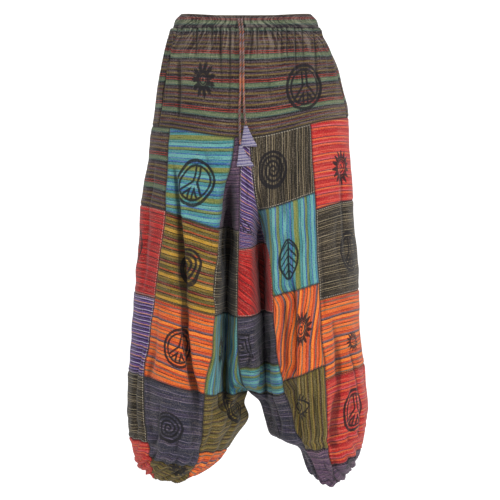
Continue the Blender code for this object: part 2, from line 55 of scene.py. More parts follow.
# --- sections ----------------------------------------------------------------------------------------
# drop is how far below the waistband's top edge. A line is lower at the centre (drop_in) than at the
# side (drop_out). x is measured outwards, towards the leg's own side; x_in is the leg's inner edge.
# open is the angle where the ring starts: 90 for half a torso, 0 for a closed leg.
Torso = namedtuple("Torso", "line drop_in open front back seam_x")
TORSO = (
    Torso(0, 0.030, 90, 0.100, 0.104, 0.010),
    Torso(3, 0.135, 90, 0.120, 0.130, 0.010),
    Torso(6, 0.252, 88, 0.134, 0.142, 0.012),
    Torso(8, 0.328, 82, 0.140, 0.147, 0.015),
    Torso(11, 0.442, 75, 0.146, 0.152, 0.018),
    Torso(14, 0.550, 66, 0.150, 0.154, 0.021),
    Torso(16, 0.618, 60, 0.151, 0.155, 0.022),
    Torso(18, 0.690, 53, 0.152, 0.155, 0.020),
    Torso(19, 0.725, 45, 0.152, 0.154, 0.017),
    Torso(20, 0.762, 30, 0.151, 0.152, 0.010),
    Torso(21, 0.786, 0, 0.150, 0.150, -0.001),
)

# The seams' places across the front: valley is the bottom of the deep fold beside the crotch's hanging
# bag, main the seam between the crotch column and the front column, side the one before the side column.
Outline = namedtuple("Outline", "line drop_out x_out x_valley x_main x_side")
RIGHT_OUTLINE = (
    Outline(0, 0.030, 0.154, 0.020, 0.026, 0.110),
    Outline(3, 0.128, 0.182, 0.018, 0.024, 0.150),
    Outline(6, 0.232, 0.197, 0.019, 0.026, 0.160),
    Outline(9, 0.329, 0.211, 0.031, 0.044, 0.165),
    Outline(11, 0.395, 0.220, 0.038, 0.056, 0.168),
    Outline(16, 0.576, 0.237, 0.046, 0.066, 0.190),
    Outline(19, 0.672, 0.244, 0.050, 0.072, 0.204),
    Outline(21, 0.740, 0.249, 0.052, 0.076, 0.210),
    Outline(23, 0.808, 0.251, 0.046, 0.082, 0.210),
    Outline(25, 0.878, 0.245, 0.070, 0.096, 0.206),
    Outline(27, 0.935, 0.230, 0.104, 0.122, 0.196),
    Outline(28, 0.951, 0.214, 0.116, 0.132, 0.192),
    Outline(29, 0.940, 0.200, 0.128, 0.138, 0.184),
)
LEFT_OUTLINE = (
    Outline(0, 0.030, 0.148, -0.002, 0.005, 0.100),
    Outline(3, 0.122, 0.189, -0.003, 0.004, 0.122),
    Outline(6, 0.214, 0.208, -0.003, 0.005, 0.128),
    Outline(9, 0.315, 0.216, 0.005, 0.015, 0.135),
    Outline(11, 0.385, 0.219, 0.016, 0.028, 0.139),
    Outline(13, 0.460, 0.225, 0.028, 0.046, 0.143),
    Outline(16, 0.572, 0.232, 0.034, 0.053, 0.148),
    Outline(19, 0.664, 0.239, 0.037, 0.058, 0.151),
    Outline(21, 0.728, 0.243, 0.042, 0.066, 0.153),
    Outline(23, 0.800, 0.249, 0.056, 0.080, 0.158),
    Outline(25, 0.868, 0.244, 0.104, 0.118, 0.166),
    Outline(27, 0.925, 0.227, 0.132, 0.142, 0.180),
    Outline(28, 0.944, 0.216, 0.138, 0.152, 0.188),
    Outline(29, 0.936, 0.202, 0.146, 0.157, 0.184),
)

# Below the crotch each leg has its own inseam, depth and dip, which is how much lower its front hangs.
Shin = namedtuple("Shin", "line drop_in x_in front back dip")
RIGHT_SHIN = (
    Shin(22, 0.810, 0.005, 0.148, 0.146, 0.000),
    Shin(23, 0.838, -0.004, 0.144, 0.142, 0.000),
    Shin(24, 0.872, 0.018, 0.138, 0.136, 0.000),
    Shin(25, 0.902, 0.044, 0.128, 0.126, 0.002),
    Shin(26, 0.926, 0.062, 0.112, 0.112, 0.006),
    Shin(27, 0.944, 0.084, 0.090, 0.094, 0.012),
    Shin(28, 0.952, 0.102, 0.066, 0.072, 0.014),
    Shin(29, 0.940, 0.120, 0.040, 0.044, 0.000),
)
LEFT_SHIN = (
    Shin(22, 0.808, 0.024, 0.148, 0.146, 0.000),
    Shin(23, 0.842, 0.035, 0.144, 0.142, 0.000),
    Shin(24, 0.876, 0.048, 0.136, 0.134, 0.004),
    Shin(25, 0.890, 0.092, 0.126, 0.124, 0.010),
    Shin(26, 0.910, 0.112, 0.110, 0.110, 0.022),
    Shin(27, 0.928, 0.118, 0.088, 0.090, 0.030),
    Shin(28, 0.943, 0.126, 0.064, 0.066, 0.030),
    Shin(29, 0.936, 0.137, 0.036, 0.038, 0.000),
)

# The cloth is creased along the crotch's lowest stretch: slope is how fast it opens out from there.
Pinch = namedtuple("Pinch", "line slope")
PINCHES = tuple(Pinch(*row) for row in ((0, 0.0), (18, 0.0), (20, 0.45), (22, 0.45), (26, 0.0), (29, 0.0)))
PINCH_REACH = 0.035

# The waistband's section: how far in from the yoke's top line it is, at each drop from its top edge.
Band = namedtuple("Band", "drop inset")
BAND_PROFILE = (Band(0.0, 0.0150), Band(0.0130, 0.0065), Band(BAND_HEIGHT + 0.0013, 0.0005))

# --- folds -------------------------------------------------------------------------------------------
# A fold runs down the front (face -1) or the back (face 1), from x at its first line to x at its last,
# with x positive towards the wearer's left. share is how much of the depth it takes off, and a negative
# share is a ridge. It comes in over `fade` lines and goes out the same way.
Fold = namedtuple("Fold", "name face first last fade x_first x_last width share")
FOLDS = (
    Fold("valley_right_front", -1, 7, 23, 5.0, -0.036, -0.050, 0.0125, 0.78),
    Fold("valley_left_front", -1, 8, 23, 5.0, 0.022, 0.042, 0.0130, 0.70),
    Fold("valley_right_back", 1, 7, 23, 5.0, -0.036, -0.050, 0.014, 0.62),
    Fold("valley_left_back", 1, 8, 23, 5.0, 0.022, 0.042, 0.014, 0.58),
    Fold("knee_right_front", -1, 9, 26, 5.0, -0.150, -0.092, 0.014, 0.10),
    Fold("thigh_right_front", -1, 6, 17, 4.0, -0.176, -0.150, 0.020, -0.07),
    Fold("side_right_front", -1, 12, 28, 5.0, -0.200, -0.206, 0.012, 0.12),
    Fold("knee_left_front", -1, 13, 25, 4.0, 0.076, 0.086, 0.012, 0.12),
    Fold("shin_left_front", -1, 15, 28, 4.0, 0.196, 0.176, 0.014, 0.11),
    Fold("thigh_left_front", -1, 6, 18, 4.0, 0.100, 0.120, 0.022, -0.05),
    Fold("knee_right_back", 1, 8, 26, 5.0, -0.130, -0.112, 0.017, 0.12),
    Fold("side_right_back", 1, 12, 28, 5.0, -0.190, -0.196, 0.014, 0.10),
    Fold("knee_left_back", 1, 8, 26, 5.0, 0.118, 0.106, 0.016, 0.13),
    Fold("shin_left_back", 1, 13, 28, 5.0, 0.176, 0.168, 0.014, 0.11),
)

# --- columns and patches -----------------------------------------------------------------------------
# Each step from one guide line to the next holds this many facets; the yoke's side seam is at "seam".
GUIDES = ("centre", "valley", "main", "side", "seam", "back_side", "back_main", "back_valley", "back")
FACETS = (3, 3, 4, 3, 3, 4, 3, 3)
STARTS = tuple(sum(FACETS[:i]) for i in range(len(GUIDES)))
FINE_STEPS = 120  # points between two guides before they are spaced evenly
AT = dict(zip(GUIDES, STARTS))

Column = namedtuple("Column", "name first last")
COLUMNS = (
    Column("crotch_front", AT["centre"], AT["main"]),
    Column("front", AT["main"], AT["side"]),
    Column("side", AT["side"], AT["back_side"]),
    Column("back", AT["back_side"], AT["back_main"]),
    Column("crotch_back", AT["back_main"], AT["back"]),
)

Leg = namedtuple("Leg", "name side outline shin seams pocket")
RIGHT = Leg(
    "right",
    -1,
    RIGHT_OUTLINE,
    RIGHT_SHIN,
    {
        "crotch_front": (6, 11, 16, 21, 25, 29),
        "front": (6, 11, 16, 21, 26, 29),
        "side": (6, 11, 16, 21, 25, 29),
        "back": (6, 12, 17, 23, 29),
        "crotch_back": (6, 12, 17, 21, 29),
    },
    0.92,
)
LEFT = Leg(
    "left",
    1,
    LEFT_OUTLINE,
    LEFT_SHIN,
    {
        "crotch_front": (6, 12, 16, 19, 21, 29),
        "front": (6, 10, 15, 20, 25, 29),
        "side": (6, 11, 16, 21, 26, 29),
        "back": (6, 11, 17, 23, 29),
        "crotch_back": (6, 11, 16, 21, 29),
    },
    0.985,
)
LEGS = (RIGHT, LEFT)

# --- curves ------------------------------------------------------------------------------------------
def smooth_through(lines, values, line):
    """The value at `line` of a smooth curve that never overshoots its rows."""
    lines = np.asarray(lines, float)
    values = np.asarray(values, float)
    steps = np.diff(lines)
    slopes = np.diff(values) / steps
    tangents = np.zeros(len(lines))
    for i in range(1, len(lines) - 1):
        before, after = slopes[i - 1], slopes[i]
        if before * after > 0:
            tangents[i] = 2 * before * after / (before + after)
    tangents[0], tangents[-1] = slopes[0], slopes[-1]
    i = int(np.clip(np.searchsorted(lines, line, side="right") - 1, 0, len(lines) - 2))
    t = float(np.clip((line - lines[i]) / steps[i], 0, 1))
    start = (1 + 2 * t) * (1 - t) ** 2 * values[i] + t * (1 - t) ** 2 * steps[i] * tangents[i]
    end = t * t * (3 - 2 * t) * values[i + 1] - t * t * (1 - t) * steps[i] * tangents[i + 1]
    return start + end


def smooth_rise(t):
    t = np.clip(t, 0, 1)
    return t * t * (3 - 2 * t)


def column_of(rows, name, at, key="line"):
    return smooth_through([getattr(r, key) for r in rows], [getattr(r, name) for r in rows], at)

# --- the surface -------------------------------------------------------------------------------------
def section(leg, line):
    """The sizes of a leg's ring at a line, as one dict."""
    sizes = {
        name: column_of(leg.outline, name, line)
        for name in ("drop_out", "x_out", "x_valley", "x_main", "x_side")
    }
    shared = [
        (r.line, r.drop_in, -leg.side * r.seam_x, r.front, r.back, 0.0, r.open) for r in TORSO
    ] + [(r.line, r.drop_in, r.x_in, r.front, r.back, r.dip, 0.0) for r in leg.shin]
    rows = list(zip(*shared))
    for name, values in zip(("drop_in", "x_in", "front", "back", "dip", "open"), rows[1:]):
        sizes[name] = smooth_through(rows[0], values, line)
    sizes["crease"] = column_of(PINCHES, "slope", line)
    start = math.radians(sizes["open"])
    sizes["start"] = start
    sizes["half_width"] = (sizes["x_out"] - sizes["x_in"]) / (1 + math.cos(start))
    sizes["middle"] = sizes["x_out"] - sizes["half_width"]
    return sizes


def fold_share(x, face, line):
    """How much of the depth the folds leave at signed x."""
    kept = np.ones_like(x)
    for fold in FOLDS:
        if fold.face != face or not fold.first < line < fold.last:
            continue
        along = (line - fold.first) / (fold.last - fold.first)
        fade = smooth_rise((line - fold.first) / fold.fade)
        fade *= smooth_rise((fold.last - line) / min(fold.fade, 2.5))
        centre = fold.x_first + (fold.x_last - fold.x_first) * along
        kept *= 1 - fold.share * fade * np.exp(-(((x - centre) / fold.width) ** 2))
    return kept


def ring_points(leg, sizes, line, angles):
    """Points of the ring: angle 0 faces the other leg, 90 degrees the front, 180 the outer side."""
    across = sizes["middle"] - sizes["half_width"] * np.cos(angles)
    front = angles < math.pi
    depth = np.where(front, sizes["front"], sizes["back"])
    y = -depth * np.sin(angles)
    past_seam = np.clip(np.abs(y) - depth * math.sin(sizes["start"]), 0, PINCH_REACH)
    across = across + sizes["crease"] * past_seam * (1 + np.cos(angles)) / 2
    x = leg.side * across
    y = y * np.where(front, fold_share(x, -1, line), fold_share(x, 1, line))
    outwards = (math.cos(sizes["start"]) - np.cos(angles)) / (1 + math.cos(sizes["start"]))
    drop = sizes["drop_in"] + (sizes["drop_out"] - sizes["drop_in"]) * smooth_rise(outwards)
    drop = drop + np.where(front, sizes["dip"] * np.sin(angles) ** 2, 0)
    return np.stack([x, y, BAND_HEIGHT / 2 - drop], axis=1)


def guide_angles(leg, sizes):
    """The ring's angle at each guide line, from the centre front to the centre back."""

    def angle_at(across):
        ratio = (sizes["middle"] - across) / sizes["half_width"]
        return math.acos(min(1.0, max(-1.0, ratio)))

    front = [sizes["start"]] + [angle_at(sizes[k]) for k in ("x_valley", "x_main", "x_side")]
    seam = math.pi - math.acos(leg.pocket)
    return front + [seam] + [2 * math.pi - a for a in reversed(front)]


def lengths_to(points):
    """How far along the polyline each of its points is."""
    return np.concatenate([[0], np.cumsum(np.linalg.norm(np.diff(points, axis=0), axis=1))])


def evenly(points, count):
    """count + 1 points spaced evenly along a polyline."""
    along = lengths_to(points)
    at = np.linspace(0, along[-1], count + 1)
    return np.stack([np.interp(at, along, points[:, k]) for k in range(3)], axis=1)


def ring(leg, line):
    sizes = section(leg, line)
    angles = guide_angles(leg, sizes)
    found = []
    for first, last, count in zip(angles, angles[1:], FACETS):
        fine = ring_points(leg, sizes, line, np.linspace(first, last, FINE_STEPS))
        found.append(evenly(fine, count * PER_FACET)[: None if last == angles[-1] else -1])
    return np.concatenate(found)


def leg_grid(leg):
    return np.array([ring(leg, row / PER_LINE) for row in range(HEM * PER_LINE + 1)])


def unit(vectors):
    return vectors / np.maximum(np.linalg.norm(vectors, axis=-1, keepdims=True), 1e-12)


def normals_of(grid, side):
    """The outward normal at each point of a leg's grid. Its two edges meet at the inseam and share one."""
    facets = unit(np.cross(grid[1:, 1:] - grid[:-1, :-1], grid[1:, :-1] - grid[:-1, 1:])) * -side
    total = np.zeros_like(grid)
    for rows in (slice(1, None), slice(None, -1)):
        for columns in (slice(1, None), slice(None, -1)):
            total[rows, columns] += facets
    shin = slice(CROTCH * PER_LINE, None)
    total[shin, 0] = total[shin, -1] = total[shin, 0] + total[shin, -1]
    return total


def leg_surfaces():
    """The two legs' grids and normals. The seams that the legs share have one normal for both."""
    grids = [leg_grid(leg) for leg in LEGS]
    sums = [normals_of(grid, leg.side) for leg, grid in zip(LEGS, grids)]
    torso = slice(0, CROTCH * PER_LINE + 1)
    for edge in (0, -1):
        sums[0][torso, edge] = sums[1][torso, edge] = sums[0][torso, edge] + sums[1][torso, edge]
    return grids, [unit(total) for total in sums]

# --- cloths ------------------------------------------------------------------------------------------
# One repeat of each handloom stripe: the width of a band in millimetres and its colour, as on a screen.
RUST, SAGE, NIGHT, UMBER = (176, 72, 48), (108, 128, 98), (44, 38, 46), (84, 56, 48)
OLIVE, DUSK, GOLD, AQUA = (122, 104, 62), (92, 78, 92), (196, 158, 62), (116, 172, 168)
BLUE, TEAL, RED, CORAL = (72, 118, 168), (82, 146, 150), (196, 44, 44), (232, 108, 66)
STRIPES = {
    "yoke": (
        (1.6, RUST), (2.4, NIGHT), (1.8, RUST), (1.6, DUSK), (2.4, SAGE), (5.6, (132, 146, 116)),
        (2.2, (86, 116, 112)), (3.4, NIGHT), (3.4, DUSK), (2.0, UMBER), (3.6, (138, 118, 66)),
        (1.8, DUSK), (2.6, UMBER), (1.2, (142, 62, 52)), (3.8, (108, 92, 104)), (3.4, OLIVE),
        (2.2, NIGHT), (3.0, (104, 84, 98)), (3.2, (138, 118, 66)), (2.6, UMBER), (2.4, NIGHT),
        (2.2, DUSK),
    ),
    "teal": (
        (7.0, AQUA), (2.0, BLUE), (4.0, TEAL), (3.4, BLUE), (1.4, (44, 84, 110)), (5.0, TEAL),
        (8.0, (136, 142, 84)), (3.0, (104, 132, 92)), (4.0, TEAL), (1.4, (44, 84, 110)), (6.0, AQUA),
        (3.0, BLUE), (5.0, (124, 140, 92)), (1.6, (70, 84, 60)), (6.0, TEAL), (2.4, BLUE),
    ),
    "mustard": (
        (6.0, GOLD), (1.6, (56, 46, 26)), (4.0, (146, 122, 46)), (5.0, (110, 98, 44)),
        (1.6, (56, 46, 26)), (3.0, (138, 62, 40)), (2.4, (92, 44, 38)), (5.0, (158, 130, 48)),
        (1.4, (56, 46, 26)), (6.0, (112, 104, 50)), (3.0, (178, 92, 42)), (3.0, (74, 60, 36)),
        (4.0, (132, 112, 48)),
    ),
    "orange": (
        (7.0, (224, 118, 44)), (2.0, (172, 66, 44)), (4.0, (206, 96, 48)), (3.0, (126, 102, 112)),
        (2.0, (96, 66, 72)), (6.0, (236, 142, 58)), (3.0, (196, 72, 42)), (3.0, (142, 108, 92)),
        (5.0, (218, 104, 44)), (1.6, (118, 52, 46)), (5.0, (232, 130, 52)), (3.0, (138, 116, 96)),
    ),
    "slate": (
        (8.0, (84, 84, 104)), (1.0, (156, 146, 172)), (7.0, (76, 76, 98)), (1.0, (118, 108, 140)),
        (5.0, (92, 84, 108)), (1.0, (164, 152, 176)), (9.0, (78, 80, 100)), (1.2, (58, 56, 74)),
    ),
    "ebony": (
        (7.0, (58, 52, 42)), (1.0, (180, 168, 140)), (4.0, (40, 36, 32)), (1.2, (134, 122, 96)),
        (5.0, (74, 66, 52)), (1.0, (42, 38, 32)), (1.2, (172, 158, 128)), (3.0, (50, 44, 38)),
        (1.0, (150, 136, 108)), (6.0, (64, 58, 46)), (2.0, (96, 86, 66)),
    ),
    "rose": (
        (6.0, (204, 48, 50)), (2.4, (232, 104, 84)), (4.0, (222, 74, 62)), (2.0, (148, 56, 84)),
        (3.0, (236, 128, 76)), (5.0, (210, 52, 56)), (3.0, (226, 104, 108)), (1.6, (116, 44, 72)),
        (4.0, CORAL), (3.0, (186, 40, 48)),
    ),
    "scarlet": (
        (8.0, (168, 34, 38)), (1.4, (222, 62, 54)), (5.0, (150, 30, 36)), (1.4, (230, 78, 62)),
        (7.0, RED), (2.0, (104, 22, 34)), (4.0, (176, 38, 42)), (1.2, (224, 72, 60)),
    ),
    "plum": (
        (7.0, (104, 82, 108)), (1.4, (48, 38, 56)), (5.0, (124, 98, 122)), (3.0, (78, 64, 92)),
        (1.2, (150, 118, 138)), (6.0, (96, 78, 104)), (2.0, (56, 44, 62)), (5.0, (116, 90, 116)),
    ),
    "violet": (
        (4.0, (92, 66, 128)), (1.6, (196, 184, 212)), (3.0, (70, 48, 96)), (3.6, (120, 92, 156)),
        (1.4, (222, 170, 142)), (4.0, (78, 54, 106)), (2.0, (156, 138, 190)), (3.0, (60, 42, 78)),
    ),
    "moss": (
        (6.0, (104, 94, 48)), (2.0, (58, 50, 32)), (4.0, (128, 112, 56)), (3.0, (84, 66, 42)),
        (1.2, (48, 42, 30)), (5.0, (112, 102, 54)), (3.0, (140, 120, 62)), (2.4, (72, 60, 38)),
    ),
    "lilac": (
        (3.0, (172, 168, 204)), (1.4, (112, 108, 158)), (2.4, (214, 208, 224)), (1.2, (92, 88, 140)),
        (2.6, (158, 150, 190)), (1.6, (216, 208, 222)),
    ),
}
DARK_THREAD, PALE_THREAD = (26, 22, 24), (176, 166, 150)
PALE_STITCHED = ("ebony", "scarlet", "violet")
INK = (0.006, 0.005, 0.007)
DYE_DEPTH = 0.78  # how much darker the yarns are in the cloth than on their own
DYE_CONTRAST = 1.27  # how much further apart the cloth's yarns are than the charts' colours
DEPTHS = {
    "yoke": 0.74, "slate": 0.66, "ebony": 0.85, "teal": 1.10, "orange": 1.08, "lilac": 0.62, "rose": 0.86,
    "moss": 1.20,
}


def linear(colour):
    """A screen colour of 0 to 255 in the renderer's linear light."""
    return tuple(c / 255 / 12.92 if c <= 10 else ((c / 255 + 0.055) / 1.055) ** 2.4 for c in colour)


class Field:
    """A number that varies over the cloth. Arithmetic on it adds Math nodes to its tree."""

    def __init__(self, tree, socket):
        self.tree = tree
        self.socket = socket

    def node(self, operation, *values):
        made = self.tree.nodes.new("ShaderNodeMath")
        made.operation = operation
        for socket, value in zip(made.inputs, values):
            if isinstance(value, Field):
                self.tree.links.new(value.socket, socket)
            else:
                socket.default_value = value
        return Field(self.tree, made.outputs[0])

    def __add__(self, other):
        return self.node("ADD", self, other)

    __radd__ = __add__

    def __sub__(self, other):
        return self.node("SUBTRACT", self, other)

    def __rsub__(self, other):
        return self.node("SUBTRACT", other, self)

    def __mul__(self, other):
        return self.node("MULTIPLY", self, other)

    __rmul__ = __mul__

    def __truediv__(self, other):
        return self.node("DIVIDE", self, other)

    def __abs__(self):
        return self.node("ABSOLUTE", self)

    def least(self, other):
        return self.node("MINIMUM", self, other)

    def most(self, other):
        return self.node("MAXIMUM", self, other)

    def below(self, edge, soft=0.03):
        """1 where this is under `edge` and 0 over it, with a soft step between."""
        made = self.tree.nodes.new("ShaderNodeMapRange")
        made.interpolation_type = "SMOOTHSTEP"
        self.tree.links.new(self.socket, made.inputs["Value"])
        made.inputs["From Min"].default_value = edge - soft
        made.inputs["From Max"].default_value = edge + soft
        made.inputs["To Min"].default_value = 1
        made.inputs["To Max"].default_value = 0
        return Field(self.tree, made.outputs["Result"])

    def above(self, edge, soft=0.03):
        return 1 - self.below(edge, soft)

    def line(self, centre, width, soft=0.02):
        """1 on a line where this is `centre`."""
        return abs(self - centre).below(width / 2, soft)

    def repeat(self):
        return self.node("FRACT", self)


# --- block prints, drawn in a square from -1 to 1 ----------------------------------------------------
def radius(x, y):
    return (x * x + y * y).node("SQRT", x * x + y * y)


def turn_of(x, y):
    """The angle round the middle, as -0.5 to 0.5 of a turn."""
    return x.node("ARCTAN2", y, x) / (2 * math.pi)


def peace(x, y):
    """A peace sign in outline: two rings, and the outline of its stem and arms."""
    r = radius(x, y)
    slant = math.radians(42)
    across = abs(x) * math.cos(slant) + y * math.sin(slant)
    along = abs(x) * math.sin(slant) - y * math.cos(slant)
    arm = abs(across) + along.below(0, 0.01) * 2
    bars = abs(x).least(arm).line(0.110, 0.105) * r.below(0.76)
    return bars.most(r.line(0.93, 0.140)).most(r.line(0.735, 0.105))


def spiral(x, y):
    r = radius(x, y)
    coil = (r * 3.9 - turn_of(x, y)).repeat()
    return (coil.line(0.5, 0.54, 0.08) * r.below(0.90)).most(r.line(0.93, 0.14))


def square_spiral(x, y):
    """Square rings broken at one corner and joined to the next, as a meander."""
    r = abs(x).most(abs(y))
    coil = (r * 3.4 - turn_of(x, y)).repeat()
    return coil.line(0.5, 0.46, 0.08) * r.below(0.97)


def rays(x, y, count, first, last, width):
    """Tapered strokes round the middle."""
    r = radius(x, y)
    aside = abs((turn_of(x, y) * count).repeat() - 0.5) * r * (2 * math.pi / count)
    taper = width * (1.15 - r)
    return (aside - taper).below(0, 0.02) * r.above(first) * r.below(last)


def sun(x, y):
    r = radius(x, y)
    curl = (r * 4.6 - turn_of(x, y)).repeat().line(0.5, 0.36, 0.08) * r.below(0.40)
    return rays(x, y, 15, 0.52, 0.98, 0.26).most(r.line(0.47, 0.10)).most(curl)


def flower(x, y):
    petals = rays(x, y, 11, 0.30, 0.98, 0.24).most(rays(x, y, 22, 0.66, 0.90, 0.10))
    r = radius(x, y)
    return petals.most(r.line(0.24, 0.09)).most(r.below(0.09))


def leaf(x, y):
    """A leaf in outline with a midrib and slanting veins."""
    reach = (1 - y * y).most(0.0) * 0.62
    side = abs(x)
    veins = ((y + side * 0.9) * 3.0).repeat().line(0.5, 0.32, 0.08) * (side - reach * 0.86).below(0)
    edge = (side - reach).line(0, 0.15) * abs(y).below(0.98)
    rib = side.line(0, 0.13) * abs(y).below(0.98)
    return edge.most(rib).most(veins * abs(y).below(0.80))


def eye(x, y):
    """Two arcs round a ringed dot, with short strokes above and below."""
    lid = (1 - x * x).most(0.0) * 0.50
    r = radius(x, y)
    edge = (abs(y) - lid).line(0, 0.15) * abs(x).below(0.98)
    lashes = rays(x, y, 18, 0.60, 0.92, 0.16) * (abs(y) - lid).above(0.08)
    return edge.most(r.line(0.30, 0.10)).most(r.below(0.12)).most(lashes)


def motif_group(draw):
    """A motif as a node group, from X and Y to Mask."""
    group = bpy.data.node_groups.get(draw.__name__)
    if group:
        return group
    group = bpy.data.node_groups.new(draw.__name__, "ShaderNodeTree")
    for name in "XY":
        group.interface.new_socket(name, in_out="INPUT", socket_type="NodeSocketFloat")
    group.interface.new_socket("Mask", in_out="OUTPUT", socket_type="NodeSocketFloat")
    inside = group.nodes.new("NodeGroupInput")
    outside = group.nodes.new("NodeGroupOutput")
    x, y = (Field(group, inside.outputs[name]) for name in "XY")
    group.links.new(draw(x, y).socket, outside.inputs["Mask"])
    return group

# --- the cloth's material ----------------------------------------------------------------------------
# A print on a piece: its middle in the piece's UV map, half its height, its width over its height.
Print = namedtuple("Print", "motif u v size aspect")


# Painted shade in the creases: how deep a crease must be before it darkens, how fast it darkens, and how far.
HOLLOW_START, HOLLOW_RATE, HOLLOW_MOST = 0.0003, 190, 0.62  # how a crease's depth in metres darkens it
RUCK_PITCH, RUCK_FALL = 250, 14  # fine gathers: noise cells to a metre, across and down


def new_material(name):
    material = bpy.data.materials.new(name)
    material.use_nodes = True
    return material, material.node_tree, material.node_tree.nodes["Principled BSDF"]


def add_bump(tree, shader, height, strength, distance):
    bump = tree.nodes.new("ShaderNodeBump")
    bump.inputs["Strength"].default_value = strength
    bump.inputs["Distance"].default_value = distance
    tree.links.new(height.socket, bump.inputs["Height"])
    tree.links.new(bump.outputs["Normal"], shader.inputs["Normal"])


def uv_fields(tree, layer):
    source = tree.nodes.new("ShaderNodeUVMap")
    source.uv_map = layer
    split = tree.nodes.new("ShaderNodeSeparateXYZ")
    tree.links.new(source.outputs["UV"], split.inputs["Vector"])
    return Field(tree, split.outputs["X"]), Field(tree, split.outputs["Y"])


def noise_field(tree, x, y, detail=2.0, seed=0.0):
    """Noise over (x, y), about 0.5 on average."""
    place = tree.nodes.new("ShaderNodeCombineXYZ")
    for value, socket in ((x, "X"), (y, "Y")):
        tree.links.new(value.socket, place.inputs[socket])
    place.inputs["Z"].default_value = seed
    texture = tree.nodes.new("ShaderNodeTexNoise")
    texture.inputs["Scale"].default_value = 1.0
    texture.inputs["Detail"].default_value = detail
    tree.links.new(place.outputs["Vector"], texture.inputs["Vector"])
    return Field(tree, texture.outputs["Fac"])


def mix(tree, share, under, over, blend="MIX"):
    """A colour socket: `over` laid on `under` by `share`. Either may be a colour or a socket."""
    made = tree.nodes.new("ShaderNodeMix")
    made.data_type = "RGBA"
    made.blend_type = blend
    tree.links.new(share.socket, made.inputs["Factor"])
    for value, socket in ((under, made.inputs[6]), (over, made.inputs[7])):
        if isinstance(value, tuple):
            socket.default_value = (*value, 1)
        else:
            tree.links.new(value, socket)
    return made.outputs[2]


def stripe_colour(tree, across, chart, depth=1.0):
    """The chart's colour at `across` metres, repeated."""
    repeat = sum(width for width, _ in chart)
    ramp = tree.nodes.new("ShaderNodeValToRGB")
    ramp.color_ramp.interpolation = "CONSTANT"
    elements = ramp.color_ramp.elements
    elements.remove(elements[1])
    start = 0.0
    for i, (width, colour) in enumerate(chart):
        element = elements[0] if i == 0 else elements.new(start / repeat)
        element.position = start / repeat
        element.color = (*(min(0.9, depth * DYE_DEPTH * c**DYE_CONTRAST) for c in linear(colour)), 1)
        start += width
    tree.links.new((across * (1000 / repeat)).repeat().socket, ramp.inputs["Fac"])
    return ramp.outputs["Color"]


def dashes(along, length=0.0055):
    """A running stitch: 1 on each dash."""
    return (along / length).repeat().below(0.62, 0.06)


